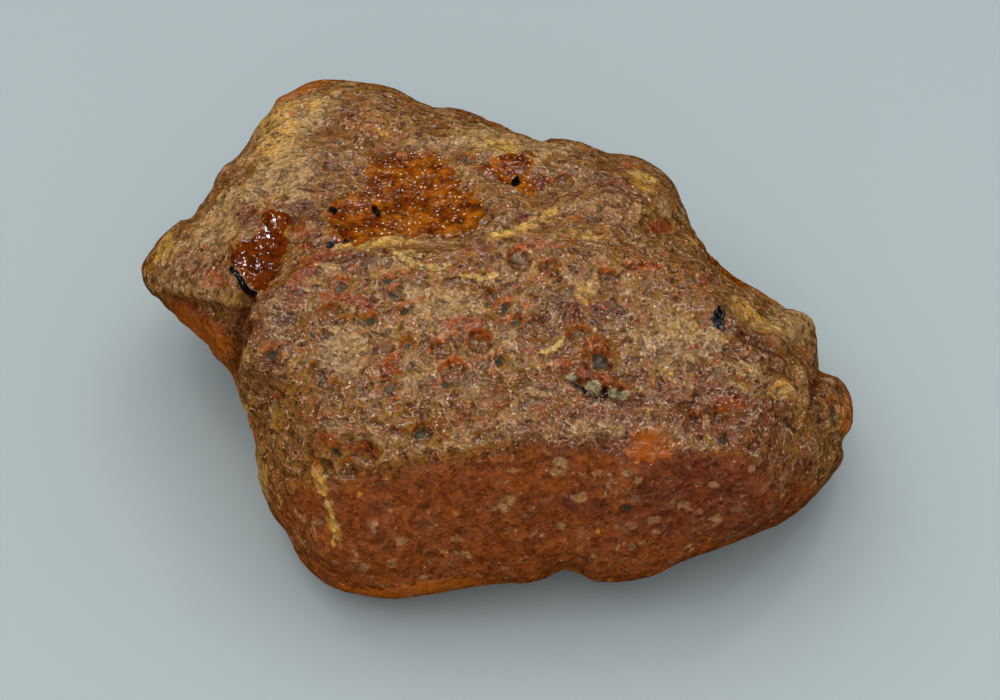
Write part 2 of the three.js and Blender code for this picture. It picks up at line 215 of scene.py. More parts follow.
# %% [markdown]
# ## The plain form
# The other parts of the radius are the rounding across the rim, nine flat sides and a slightly domed
# underside. One over the radius is easiest to join: a high power mean of the parts gives flat sides
# with soft edges, and a higher power gives crisper edges.

# %% Radius in every direction
SIDES = (
    ("broad top", (0.02, -0.33, 0.94), 16.2),
    ("strip behind the top", (-0.03, 0.16, 0.985), 17.8),
    ("front", (0.05, -0.97, 0.24), 26.4),
    ("left", (-0.78, -0.60, 0.16), 36.0),
    ("right slope", (0.50, 0.05, 0.86), 28.0),
    ("back", (0.10, 0.97, 0.22), 50.0),
    ("under the back", (0.06, 0.72, -0.69), 31.0),
    ("under the left", (-0.60, 0.20, -0.77), 43.0),
    ("under the right", (0.62, 0.10, -0.78), 43.0),
)
SIDE_SHARPNESS = 12
JOIN_SHARPNESS = 20
UNDERSIDE = np.array([80.0, 70.0, 21.0])


def unit(vectors):
    """The same directions with length 1."""
    return vectors / np.linalg.norm(vectors, axis=-1, keepdims=True)


def split_view(directions):
    """A direction's share across the picture, its share of up in that, its angle and its share near."""
    right, up, near = directions @ RIGHT, directions @ UP, directions @ NEAR
    across = np.maximum(np.hypot(right, up), 1e-6)
    return across, up / across, np.arctan2(up, right), near


def rim_lean(directions):
    """How far a direction leans from the rim: positive towards the eye, negative away from it."""
    across, up_share, _, near = split_view(directions)
    return near / across - (RIM_SLOPE + RIM_SLOPE_UP * up_share)


def inverse_rim(directions):
    """One over the radius of the rounded rim, which never passes the outline seen by the eye."""
    across, _, angle, near = split_view(directions)
    lean = rim_lean(directions)
    exact = np.interp(angle, OUTLINE_ANGLES, OUTLINE_RADII, period=FULL_TURN)
    soft = np.interp(angle, OUTLINE_ANGLES, SOFT_RADII, period=FULL_TURN)
    radius = exact + (soft - exact) * soft_step(0.05, 0.5, np.abs(lean))
    rounding = np.sqrt(1 + (lean / RIM_ROUNDNESS) ** 2)
    towards_eye = near / VIEW_DISTANCE
    return np.maximum.reduce([across / radius * rounding + towards_eye,
                              across / exact + towards_eye, np.full(len(across), 1e-6)])


def inverse_sides(directions):
    """A high power mean of each side's cosine over its distance from the middle."""
    total = np.zeros(len(directions))
    for _, facing, distance in SIDES:
        total += (np.maximum(directions @ unit(np.array(facing)), 0) / distance) ** SIDE_SHARPNESS
    return total ** (1 / SIDE_SHARPNESS)


def radius_along(directions):
    """The plain form's radius: the rim, the sides and the underside, softly joined."""
    dome = np.linalg.norm(directions / UNDERSIDE, axis=1)
    parts = np.stack([inverse_rim(directions), inverse_sides(directions), dome])
    return np.sum(parts ** JOIN_SHARPNESS, axis=0) ** (-1 / JOIN_SHARPNESS)


# %% [markdown]
# ## A grid on a ball
# A ball with a north pole has long thin faces there, which would show as streaks. Six square grids
# pushed out from a cube have none. The two parameters of a grid are angles from -45 to 45 degrees,
# and their tangents are the place on the cube's face. The ball is then stretched to the stone's
# proportions and shifted towards the eye, so that the pitted side gets the finer mesh.

# %% Directions on six grids
GRID = 128
SPREAD = np.array([46.0, 36.0, 22.0])
SPREAD_SHIFT = 6.0


def cube_grids(count):
    """Directions on six grids of count by count cells, with the shared edges merged, and the faces."""
    place = np.tan(np.linspace(-np.pi / 4, np.pi / 4, count + 1))
    a, b = np.meshgrid(place, place, indexing="ij")
    one = np.ones_like(a)
    grids = [(one, a, b), (-one, b, a), (b, one, a), (a, -one, b), (a, b, one), (b, a, -one)]
    points = np.concatenate([np.stack(grid, axis=-1).reshape(-1, 3) for grid in grids])
    index = np.arange(len(points)).reshape(6, count + 1, count + 1)
    corners = [index[:, :-1, :-1], index[:, 1:, :-1], index[:, 1:, 1:], index[:, :-1, 1:]]
    quads = np.stack(corners, axis=-1).reshape(-1, 4)
    _, first, merged = np.unique(unit(points).round(7), axis=0, return_index=True, return_inverse=True)
    return unit(unit(points[first]) * SPREAD + NEAR * SPREAD_SHIFT), merged.ravel()[quads]


def vertex_normals(points, quads):
    """Each face's normal, as the cross product of its diagonals, summed at its four corners."""
    corner = points[quads]
    face = np.cross(corner[:, 2] - corner[:, 0], corner[:, 3] - corner[:, 1])
    total = np.zeros_like(points)
    for axis in range(3):
        weights = np.repeat(face[:, axis], 4)
        total[:, axis] = np.bincount(quads.ravel(), weights, len(points))
    return unit(total)


directions, quads = cube_grids(GRID)
plain = directions * radius_along(directions)[:, None]
normals = vertex_normals(plain, quads)
lean = rim_lean(directions)
print(len(plain), "points and", len(quads), "faces; size in mm", np.ptp(plain, axis=0).round(1))

# %% [markdown]
# ## Waves and noise
# The large lumps are a sum of plane waves, the same as in the part's solid. The fine ones are
# gradient noise: every corner of a lattice has its own slope, and the heights of the eight slopes
# round a point are blended. Noise has no rows or rings in it, which small waves would show.

# %% Waves and noise
GOLDEN_ANGLE = np.pi * (3 - np.sqrt(5))
SKIN_WAVES = ((17.0, 0.50, 14, 1.0), (8.0, 0.30, 16, 4.0))
FAR_WAVES = ((32.0, 2.0, 12, 2.5), (13.0, 0.8, 12, 5.0))
EDGE_WAVES = (9.0, 0.18, 12, 7.0)


def waves(points, length, height, count, seed):
    """Plane waves in evenly spread directions, between about -height and height."""
    i = np.arange(count)
    z = 1 - (2 * i + 1) / count
    across = np.sqrt(1 - z * z)
    turn = GOLDEN_ANGLE * i + seed
    pace = 0.75 + 0.5 * ((i * 0.618 + seed * 0.37) % 1)
    ways = np.stack([across * np.cos(turn), across * np.sin(turn), z]) * pace * FULL_TURN / length
    return height * np.sin(points @ ways + 1.7 * i * i + seed).sum(axis=1) / np.sqrt(count)


def lattice_number(cell, seed):
    """A well mixed whole number for each lattice corner, from products and folded bits."""
    mixed = cell[:, 0] * 73856093 ^ cell[:, 1] * 19349663 ^ cell[:, 2] * 83492791 ^ seed * 40503
    mixed = ((mixed ^ (mixed >> 13)) * 1274126177) & 0xFFFFFFFF
    return mixed ^ (mixed >> 15)


def noise(points, size, seed):
    """Gradient noise with lumps of about the given size, between about -1 and 1."""
    cell = np.floor(points / size).astype(np.int64)
    inner = points / size - cell
    blend = inner ** 3 * (inner * (inner * 6 - 15) + 10)
    total = np.zeros(len(points))
    for corner in np.ndindex(2, 2, 2):
        number = lattice_number(cell + corner, seed)
        turn = (number & 1023) / 1023 * FULL_TURN
        z = (number >> 10 & 1023) / 1023 * 2 - 1
        across = np.sqrt(1 - z * z)
        slope = np.stack([across * np.cos(turn), across * np.sin(turn), z], axis=1)
        weight = np.prod(np.where(corner, blend, 1 - blend), axis=1)
        total += weight * np.sum(slope * (inner - corner), axis=1)
    return 1.7 * total


edge_wobble = waves(plain, *EDGE_WAVES)
print("noise from", noise(plain, 5.0, 1).min().round(2), "to", noise(plain, 5.0, 1).max().round(2))

# %% [markdown]
# ## Creases, hollows and swells
# The main block stands above the window side in a rounded shoulder, a valley runs behind the top, and
# the end knob and side lobes are set off by grooves. Each crease is a line in the picture plane with
# a groove along it and a step up on its right-hand side. Each hollow is an ellipse there, with an
# uneven edge. Finer folds of the skin are added with the same functions.

# %% Creases and hollows
CREASES = (
    ("shoulder of the main block", 0.7, 1.3, 3.2, 7.0,
     ((-35.7, -3.7), (-34.4, 0.7), (-34.1, 4.3), (-31.7, 8.0), (-27.7, 11.5), (-23.3, 13.3))),
    ("ledge under the window", 0.3, 1.2, 1.1, 5.0,
     ((-24.3, 13.1), (-16.0, 13.9), (-8.0, 14.5), (-2.0, 14.9), (4.0, 16.5))),
    ("valley behind the top", 1.0, 3.0, 0.6, 7.0,
     ((0.0, 15.2), (8.0, 16.8), (16.0, 16.3), (21.3, 14.7), (27.3, 13.6))),
    ("edge of the right lobe", 0.7, 1.2, 1.8, 5.0,
     ((27.3, 10.0), (31.3, 6.7), (35.3, 3.3), (39.6, 0.7), (43.5, -3.2))),
    ("fold under the left lobe", 0.9, 1.1, -0.6, 4.0,
     ((-44.5, 6.3), (-41.3, 5.1), (-38.1, 4.3), (-34.9, 2.9))),
    ("edge of the end knob", 0.8, 1.3, 0.8, 3.0,
     ((42.1, -1.6), (41.6, -5.6), (42.7, -10.0), (46.1, -14.1))),
)
FOLDS = (
    ("crescent under the window", 0.35, 0.5, 0.5, 2.5,
     ((-14.6, 13.4), (-13.0, 12.2), (-11.0, 11.2), (-8.8, 10.8), (-6.6, 11.3), (-5.1, 12.3))),
    ("crack with sand in it", 1.3, 0.8, 0.6, 2.0,
     ((7.7, -2.5), (9.9, -3.7), (12.8, -5.1), (15.8, -5.8), (18.0, -6.5))),
    ("left fold", 0.35, 0.8, 0.4, 2.0, ((-23.7, 2.9), (-24.0, -1.3), (-23.2, -6.7))),
    ("second left fold", 0.3, 0.8, 0.4, 2.0, ((-20.7, 2.0), (-20.3, -2.7), (-19.7, -7.3))),
    ("outer groove", 0.6, 0.7, 0.5, 2.0, ((31.3, 2.7), (34.7, 0.7), (38.0, -0.7), (40.0, -2.1))),
    ("inner groove", 0.4, 0.7, 0.5, 2.0, ((20.7, 0.7), (26.7, -0.3), (32.7, -1.6))),
    ("third groove", 0.4, 0.6, 0.4, 2.0, ((30.0, -3.0), (34.5, -4.4), (38.5, -6.3))),
    ("edge of the top skin", 0.15, 0.8, -0.6, 3.0,
     ((-22.7, -17.3), (-13.3, -15.7), (-2.7, -14.0), (8.0, -12.7), (18.7, -12.0), (26.7, -12.7))),
    ("seam beside the left lobe", 1.6, 0.7, 0.9, 2.0,
     ((-35.6, -3.4), (-35.3, 0.2), (-35.2, 3.4), (-34.2, 6.3), (-32.6, 7.8))),
    ("overhang of the left lobe", 0.5, 0.9, -1.6, 2.6,
     ((-46.0, 8.3), (-44.0, 6.9), (-40.5, 6.3), (-37.3, 5.5), (-35.2, 4.3))),
    ("seam behind the end knob", 0.8, 0.6, 0.3, 2.0,
     ((43.3, -2.4), (42.0, -4.6), (41.9, -8.0), (43.4, -12.0))),
    ("upper rim of the red hollow", 0.2, 0.6, 0.7, 2.0,
     ((-33.0, 14.6), (-32.2, 17.0), (-30.9, 18.9), (-28.7, 18.6), (-27.7, 16.8), (-28.2, 13.5))),
    ("left rim of the window", 0.1, 0.5, 0.6, 1.8,
     ((-22.2, 13.6), (-23.3, 15.5), (-23.1, 18.9), (-21.5, 20.6), (-18.3, 21.6), (-17.8, 26.5))),
)
STEP_WIDTH = 1.6
HOLLOWS = (
    ("window", (-12.7, 20.0), (11.2, 5.9), 8, 1.3),
    ("small window", (2.3, 23.2), (4.5, 2.4), -5, 0.8),
    ("red window", (-31.5, 13.3), (4.0, 5.6), 12, 2.0),
    ("left ring of pits", (-20.0, -15.5), (5.6, 4.3), 0, 1.1),
    ("right ring of pits", (27.7, -9.9), (5.1, 3.5), 10, 1.1),
    ("dip at the left", (-21.6, 3.7), (4.8, 3.5), 0, 0.8),
    ("dip at the top", (3.6, 11.7), (5.1, 3.2), -10, 0.9),
    ("dip in the middle", (12.3, 0.0), (4.8, 3.7), 15, 0.8),
    ("notch in the front edge", (8.8, -29.1), (3.5, 2.1), 0, 0.9),
    ("far left knob", (-20.7, 32.3), (8.0, 3.2), -5, -0.8),
    ("right knob", (38.7, 3.3), (4.5, 2.4), 40, -0.8),
    ("roll of the shoulder", (-28.7, -1.3), (4.5, 9.3), 8, -0.9),
    ("far right swell", (18.7, 21.3), (6.7, 4.8), 25, -0.8),
    ("front left swell", (-18.7, -25.3), (9.3, 4.8), 5, -0.9),
)


def seen_at(points):
    """Where points appear on the plane through the middle that faces the eye."""
    scale = VIEW_DISTANCE / (VIEW_DISTANCE - points @ NEAR)
    return np.stack([points @ RIGHT, points @ UP], axis=1) * scale[:, None]


def line_distance(seen, line):
    """Distance to a line of points, the side of it (1 on the left), and the share of it passed."""
    line = np.array(line)
    distance = np.full(len(seen), np.inf)
    side = np.zeros(len(seen))
    along = np.zeros(len(seen))
    for i, (start, end) in enumerate(zip(line[:-1], line[1:])):
        run = end - start
        offset = seen - start
        t = np.clip(offset @ run / (run @ run), 0, 1)
        gap = np.linalg.norm(offset - t[:, None] * run, axis=1)
        closer = gap < distance
        left = np.sign(run[0] * offset[:, 1] - run[1] * offset[:, 0])
        side = np.where(closer, left, side)
        along = np.where(closer, (i + t) / (len(line) - 1), along)
        distance = np.where(closer, gap, distance)
    return distance, side, along


def crease_height(seen, groove, half_width, step, reach, line):
    """A bell-shaped groove along a line, and a step across it that fades with distance."""
    distance, side, along = line_distance(seen, line)
    fade = soft_step(0, 0.15, along) * soft_step(1, 0.85, along)
    rise = 0.5 * step * np.tanh(-distance * side / STEP_WIDTH) * np.exp(-(distance / reach) ** 2)
    return fade * (rise - groove * np.exp(-(distance / half_width) ** 2))


def ellipse_reach(seen, at, half, turn, unevenness=1.0):
    """Distance from an ellipse's centre as a share of its size, with an uneven edge."""
    offset = seen - np.array(at)
    turn = np.radians(turn)
    x = offset[:, 0] * np.cos(turn) + offset[:, 1] * np.sin(turn)
    y = offset[:, 1] * np.cos(turn) - offset[:, 0] * np.sin(turn)
    return np.hypot(x / half[0], y / half[1]) * (1 + unevenness * edge_wobble)


def large_relief(points):
    """Height in mm of the waves, creases and hollows that the part's solid has too."""
    front = soft_step(-0.2, 0, lean)
    at_rim = np.exp(-(lean / 0.16) ** 2)
    under = soft_step(-0.5, -0.9, unit(points)[:, 2])
    skin = sum(waves(points, *wave) for wave in SKIN_WAVES)
    far = sum(waves(points, *wave) for wave in FAR_WAVES)
    height = skin * (1 - 0.25 * front) * (1 - 0.7 * at_rim)
    height += far * soft_step(-0.1, -0.6, lean) * (1 - 0.9 * under)
    seen = seen_at(points)
    for _, groove, half_width, step, reach, line in CREASES:
        height += front * crease_height(seen, groove, half_width, step, reach, line)
    for _, at, half, turn, depth in HOLLOWS:
        height -= front * depth * soft_step(1.25, 0.35, ellipse_reach(seen, at, half, turn))
    return height


shaped = plain + normals * large_relief(plain)[:, None]
normals = vertex_normals(shaped, quads)
seen = seen_at(shaped)
front_side = soft_step(-0.2, 0.0, lean)
print("large relief moves the surface by up to", np.abs(large_relief(plain)).max().round(1), "mm")

# %% [markdown]
# ## Windows and the red hollow
# Colour on the real stone follows its history: the skin is worn through in windows, iron stains it
# plum and rust, and clay fills some pits. Painting an image would tie the look to one camera, so each
# kind of place is a mask on the mesh. The windows and the red hollow have crisp edges, so they are
# polygons, with a little noise on the distance to the edge.

# %% Windows
WINDOWS = (
    ((-17.6, 26.7), (-16.0, 25.5), (-13.3, 26.6), (-9.3, 26.6), (-7.1, 24.9), (-5.1, 21.8),
     (-2.7, 19.7), (-1.9, 17.7), (-3.3, 16.0), (-6.0, 14.7), (-9.3, 15.2), (-14.9, 15.2),
     (-19.5, 13.9), (-22.4, 14.1), (-23.1, 15.7), (-22.9, 18.9), (-22.0, 20.3), (-18.1, 21.3)),
    ((-2.8, 24.0), (-1.1, 25.7), (1.6, 26.2), (4.7, 25.9), (4.4, 24.0), (6.4, 22.7), (5.9, 21.3),
     (4.0, 20.9), (1.6, 21.6), (-0.7, 22.9)),
)
RED_HOLLOW = ((-32.0, 18.1), (-30.7, 18.8), (-28.8, 18.4), (-28.0, 17.3), (-28.3, 15.7), (-28.0, 14.7),
              (-29.1, 12.0), (-29.3, 9.9), (-30.7, 8.5), (-32.3, 8.0), (-33.6, 9.6), (-34.4, 10.9),
              (-36.0, 11.7), (-35.2, 13.9), (-34.4, 14.9), (-33.3, 14.7), (-32.0, 16.0))


def polygon_depth(corners):
    """Distance inside a closed polygon's edge, negative outside it."""
    distance = line_distance(seen, corners + corners[:1])[0]
    inside = np.zeros(len(seen), dtype=bool)
    for (x1, y1), (x2, y2) in zip(corners, corners[1:] + corners[:1]):
        level = (y1 > seen[:, 1]) != (y2 > seen[:, 1])
        inside ^= level & (seen[:, 0] < x1 + (seen[:, 1] - y1) * (x2 - x1) / (y2 - y1 + 1e-9))
    return np.where(inside, distance, -distance)


fine_ragged = noise(shaped, 0.9, 29)
ragged_line = 0.55 * noise(shaped, 1.8, 30) + 0.30 * fine_ragged
depth = np.max([polygon_depth(corners) for corners in WINDOWS], axis=0)
window_mask = front_side * soft_step(-0.35, 0.35, depth + ragged_line)
ember_mask = front_side * soft_step(-0.35, 0.35, polygon_depth(RED_HOLLOW) + ragged_line)
print(f"windows cover {100 * window_mask.mean():.1f}% of the points")

# %% [markdown]
# ## Patches
# The stains are soft blots, so each is an ellipse with an uneven edge, put on the side that
# the eye sees. The hidden sides get the same kinds of blots from noise. "Glow" is the warm colour of
# thin edges, where light comes through.

# %% Patches
OCHRE = (
    ("far left cap", (-29.3, 29.4), (3.7, 2.4), 42),
    ("cream rim", (0.0, 27.4), (2.6, 1.2), -18),
    ("far right rim", (19.1, 22.3), (2.2, 1.0), -28),
    ("speck behind the valley", (6.8, 18.1), (0.9, 1.2), -30),
    ("ledge right of the window", (2.0, 15.9), (3.7, 0.8), 18),
    ("ledge further right", (10.4, 15.5), (2.4, 0.7), -8),
    ("right lobe", (33.3, 4.5), (4.0, 1.2), -32),
    ("left edge", (-31.8, -17.6), (0.9, 4.5), 8),
    ("lobe edge", (-44.6, 13.0), (2.2, 0.8), 42),
    ("ledge under the window", (-16.0, 14.3), (3.4, 0.6), 3),
    ("left of the ring", (-24.0, -17.5), (0.8, 2.6), 20),
    ("front left streak", (-22.0, -24.0), (0.8, 2.6), 25),
    ("right corner", (37.3, -5.4), (1.6, 0.9), 0),
    ("speck", (11.2, 8.1), (0.8, 1.2), 0),
    ("corner of the far right", (26.0, 14.3), (0.9, 0.6), 0),
)
RUST = (
    ("pink of the left lobe", (-38.0, 9.4), (2.0, 1.2), -30),
    ("left of the middle", (-14.9, -2.4), (2.2, 1.1), -15),
    ("over the crack", (12.2, -3.0), (4.8, 0.8), -20),
    ("red pit above the crack", (13.2, -0.4), (1.3, 1.0), 0),
    ("behind the middle", (19.2, 11.2), (2.9, 0.8), 0),
    ("behind the valley", (21.2, 16.3), (1.8, 0.7), 0),
    ("arc behind the top", (4.9, 14.0), (3.0, 0.8), 0),
    # Under the left lobe this red is partly the stone's own and partly painted shade and light coming
    # through the thin lobe.
    ("under the left lobe", (-40.5, 3.6), (5.0, 2.2), -38),
    ("arc over the left dip", (-22.3, 7.2), (2.8, 0.7), 0),
    ("second arc", (-18.7, 6.2), (1.8, 0.6), -20),
    ("triangle beside the shoulder", (-26.0, 10.4), (2.1, 1.2), 40),
    ("top of the red hollow", (-30.0, 17.5), (2.1, 1.2), 0),
    ("beside the red hollow", (-26.5, 16.0), (1.6, 1.0), 0),
    ("left ring", (-18.5, -13.2), (3.4, 0.8), -12),
    ("above the left ring", (-22.5, -12.0), (1.8, 1.0), -20),
    ("right ring", (30.7, -7.2), (2.4, 1.2), 15),
    ("right of the valley", (27.1, 9.3), (0.9, 0.8), 0),
    ("dip in the middle", (-4.5, 3.5), (3.2, 1.0), 0),
)
PLUM = (
    ("right of the front", (27.0, -19.0), (13.0, 6.5), 10),
    ("over the front", (12.0, -12.0), (12.0, 2.4), -3),
    ("right ridge", (29.0, -8.4), (11.0, 4.6), -12),
    ("upper shoulder", (-30.0, 2.0), (3.0, 6.5), -12),
    ("below the crack", (12.8, -8.8), (7.0, 2.2), 0),
    ("right shoulder", (34.0, 1.6), (4.6, 1.0), -32),
    ("right grooves", (35.8, -1.6), (3.6, 0.9), -28),
    ("far right", (16.0, 22.0), (3.2, 1.4), -5),
    ("under the window", (-19.5, 12.2), (3.5, 0.9), -10),
    ("line behind the top", (-2.5, 13.8), (2.4, 0.8), 8),
    ("right of the middle", (26.0, -6.6), (3.6, 1.5), -8),
    ("roll of the shoulder", (-32.6, 4.2), (1.4, 4.2), -22),
    ("pink beside the red hollow", (-33.6, 17.6), (1.4, 2.0), 0),
    ("pink between the windows", (-26.3, 18.3), (2.6, 2.6), 0),
    ("left lobe", (-40.0, 10.6), (4.6, 3.0), -20),
    ("near the right valley", (28.3, 9.2), (1.5, 1.2), 0),
    ("neck of the end knob", (41.6, -5.3), (0.8, 2.4), 0),
    ("above the middle", (14.0, 5.0), (4.5, 1.6), -10),
)
# Glow is painted light: the warm colour of thin edges where light comes through.
GLOW = (
    ("ridge", (20.0, -12.7), (3.4, 1.8), 0),
    ("under the left lobe", (-40.0, 2.2), (5.4, 1.6), -40),
    ("end knob", (46.2, -9.1), (1.2, 3.4), 0),
    ("front edge", (-8.0, -32.0), (22.0, 1.2), 3),
    ("far left edge", (-26.0, 35.2), (5.0, 1.0), 20),
)
PALE = (
    # The far left cap and the far side are partly the stone's own pale tan and partly painted light on
    # surfaces that face up and back.
    ("far left cap", (-28.6, 29.6), (6.5, 4.5), 42),
    ("far side", (2.0, 26.5), (7.0, 2.6), -15),
    ("grey-tan swell", (24.0, 2.0), (6.5, 2.2), -5),
    ("tan corner", (33.0, -2.6), (3.0, 0.9), -20),
    ("left of the middle", (-21.0, -0.5), (3.0, 3.4), 0),
    ("behind the red hollow", (-30.0, 23.0), (6.0, 3.4), 35),
    ("middle of the top", (-8.0, 6.0), (6.0, 3.0), 0),
    ("left lobe", (-41.0, 13.0), (6.0, 2.4), 38),
    # The pale on the right lobe is a painted highlight.
    ("right lobe", (38.6, 3.2), (4.0, 2.0), -40),
)
FLECKS = (
    (-14.5, -28.4), (0.8, -21.3), (-5.9, -25.3), (-13.2, -25.5), (1.7, -16.1), (7.1, -16.4),
    (12.9, -16.4), (16.8, -16.5), (15.2, -17.6), (18.4, -17.5), (10.7, -19.6), (28.4, -17.9),
    (20.4, -22.7), (20.9, -24.3), (18.8, -25.7), (-28.5, -12.3), (-24.2, -22.9), (-22.9, -20.5),
    (33.5, -15.9), (29.0, -22.5), (24.7, -20.6), (-10.0, -30.3), (8.2, -23.4), (-18.0, -28.8),
)


def patch_mask(patches, unevenness=1.6):
    """1 inside any of the ellipses and 0 well outside them, on the side that the eye sees."""
    nearest = np.min([ellipse_reach(seen, at, half, turn, unevenness) for _, at, half, turn in patches], 0)
    return front_side * soft_step(1.4, 0.5, nearest + 0.35 * ragged_line)


def line_mask(lines):
    """1 on any of the lines, fading over their own half widths."""
    strongest = np.zeros(len(seen))
    for half, line in lines:
        distance, _, along = line_distance(seen, line)
        width = half * (0.55 + 2.0 * along * (1 - along))
        strongest = np.maximum(strongest, soft_step(1.6, 0.3, distance / width + 0.4 * fine_ragged))
    return front_side * strongest


far_side = soft_step(0.05, -0.25, lean)
masks = {
    "clear": np.maximum(window_mask, far_side * soft_step(0.50, 0.62, noise(shaped, 17, 31))),
    "ochre": np.maximum(patch_mask(OCHRE), far_side * soft_step(0.25, 0.6, noise(shaped, 14, 32))),
    "ember": np.maximum(ember_mask, far_side * soft_step(0.45, 0.6, noise(shaped, 15, 35))),
    "rust": np.maximum(patch_mask(RUST), far_side * soft_step(0.2, 0.6, noise(shaped, 12, 33))),
    "plum": np.maximum(patch_mask(PLUM), far_side * soft_step(0.2, 0.6, noise(shaped, 13, 34))),
    # Painted light: glow on these patches and in a band along the outline as the eye sees it.
    "glow": np.maximum(patch_mask(GLOW), 0.7 * np.exp(-((lean + 0.12) / 0.16) ** 2)),
    "pale": patch_mask(PALE),
    "fleck": patch_mask([("", at, (0.75, 0.5), 0) for at in FLECKS], 1.0),
}
print({name: f"{100 * mask.mean():.0f}% of the points" for name, mask in masks.items()})

# %% [markdown]
# ## Lines
# Black mineral, seams darkened with painted shade, rusty threads and gold threads run along lines
# that taper at both ends.
# Each entry is a half width and the points of the line.

# %% Lines
BLACK_LINES = (
    (0.6, ((-35.9, 10.9), (-34.9, 10.0), (-34.3, 8.8), (-33.5, 7.8), (-32.5, 7.5))),
    (0.85, ((29.3, 5.4), (29.0, 4.2), (29.5, 2.8))),
    (0.70, ((-22.4, 18.9), (-22.2, 18.1))),
    (0.55, ((-23.1, 14.3), (-22.4, 13.7))),
    (0.45, ((-20.9, 14.3), (-20.4, 14.3))),
    (0.60, ((-16.9, 19.0), (-16.2, 18.0))),
    (0.60, ((2.3, 22.9), (1.8, 21.8))),
    (0.45, ((14.2, -4.9), (14.3, -6.1))),
    (0.60, ((10.4, -4.6), (11.3, -5.4))),
)
# Seams are painted shade along creases and the crack.
SEAM_LINES = (
    (0.9, ((-35.5, -2.9), (-35.3, 0.2), (-35.2, 3.4), (-34.4, 5.6))),
    (0.5, ((8.2, -3.4), (10.4, -5.0), (12.6, -6.4), (16.0, -6.7), (17.8, -6.6))),
    (0.5, ((43.1, -2.9), (42.0, -4.8), (41.9, -8.0))),
    (0.4, ((-33.9, 7.2), (-33.4, 4.0), (-33.9, 0.5))),
    (0.4, ((31.3, 2.4), (34.7, 0.4), (38.0, -1.0))),
)
RUST_LINES = (
    (1.2, ((8.0, -1.7), (10.8, -2.9), (13.4, -3.9), (16.4, -5.2))),
    (0.5, ((-16.6, -2.1), (-14.4, -2.2), (-12.7, -3.4))),
    (0.6, ((-24.6, 6.3), (-21.6, 7.3), (-18.5, 6.6))),
    (0.5, ((1.8, 13.6), (5.0, 14.2), (8.2, 13.4))),
    (0.5, ((-8.9, 1.2), (-7.6, 1.9), (-6.3, 1.0))),
    (0.5, ((-4.4, 1.6), (-2.8, 2.7), (-1.2, 1.6))),
    (0.5, ((-7.5, -1.9), (-6.0, -1.0), (-4.5, -2.0))),
)
GOLD_LINES = (
    (0.45, ((-14.6, 13.6), (-13.0, 12.4), (-11.0, 11.4), (-8.8, 11.0), (-6.6, 11.5))),
    (0.40, ((-20.8, 14.3), (-18.5, 13.9), (-15.8, 14.6), (-14.0, 14.9))),
    (0.40, ((-14.0, 12.9), (-12.2, 13.3), (-10.5, 12.6))),
    (0.45, ((-5.0, 10.0), (-2.6, 9.6), (-0.4, 9.9))),
    (0.50, ((-1.1, 15.3), (1.4, 15.7), (4.3, 17.2))),
    (0.35, ((5.0, -0.4), (7.3, 0.2), (8.6, 1.6))),
    (0.25, ((-23.6, -19.0), (-22.6, -21.5), (-22.0, -24.5), (-22.4, -26.3))),
)
masks["black"] = line_mask(BLACK_LINES)
masks["seam"] = line_mask(SEAM_LINES)
masks["gold"] = line_mask(GOLD_LINES)
masks["rust"] = np.maximum(masks["rust"], line_mask(RUST_LINES))
print(len(BLACK_LINES) + len(SEAM_LINES) + len(RUST_LINES) + len(GOLD_LINES), "lines")

# %% [markdown]
# ## Pits
# Weathering has eaten round pits into the skin. They could be cut one by one with booleans, which
# leave hard edges. Here a pit is a bowl, 1 - r*r deep, with a low lip round it, and it moves only the
# points near it. These larger ones are put where they are on the real face, some open and some with
# grey-green clay in a smaller pit at their middle, and so are the grains of sand in the crack.

# %% Pits
CLAY_PITS = (
    (-21.3, 8.4, 0.9), (-14.9, 9.2, 0.7), (-14.3, 7.6, 0.8), (-12.8, 5.1, 0.7), (-17.3, 3.9, 0.7),
    (-12.3, 0.7, 0.7), (0.5, 5.7, 0.8), (2.1, 3.7, 0.7), (0.0, -1.2, 0.8), (-7.2, -4.7, 0.7),
    (-14.7, -5.2, 0.8), (-10.3, -11.3, 0.9), (-30.5, -0.9, 0.9), (-21.9, -13.6, 0.7),
    (-26.0, -25.7, 0.8), (16.8, -21.5, 0.9), (44.5, -8.4, 1.2), (29.3, -11.9, 0.9),
    (-18.3, 34.1, 0.8), (-20.3, 28.0, 0.7), (-19.1, 26.8, 0.5), (-4.5, 25.6, 0.8), (26.3, 9.5, 0.9),
    (13.5, -1.2, 1.5),
)
OPEN_PITS = (
    (-1.2, 6.9, 1.2), (4.5, 3.7, 1.1), (5.1, 6.4, 0.8), (-7.7, 0.0, 1.2), (-5.2, 1.7, 0.8),
    (-2.7, 0.8, 1.6), (-5.9, -2.9, 1.6), (10.8, 1.7, 1.6), (14.4, 9.2, 1.6), (25.6, -9.9, 1.2),
    (29.5, -9.3, 1.2), (28.0, -8.4, 1.1), (-23.3, -15.6, 1.2), (-20.3, -15.9, 1.3),
    (-17.5, -13.7, 1.6), (-9.5, -18.8, 0.7), (8.4, 22.3, 1.6), (17.6, 11.1, 0.7), (20.8, 11.5, 0.7),
    (26.3, 0.0, 0.8), (-14.3, -1.7, 1.1), (-34.3, 9.4, 1.3), (2.5, 12.0, 1.7), (6.5, 11.0, 1.5),
    (-22.5, 4.5, 1.6), (-19.8, 3.2, 1.4), (-24.5, -2.5, 1.0), (-22.0, -4.5, 0.9),
)
SAND_GRAINS = ((9.6, -3.5, 0.8), (12.7, -4.9, 1.25), (15.3, -5.6, 0.7), (16.7, -5.8, 0.7))
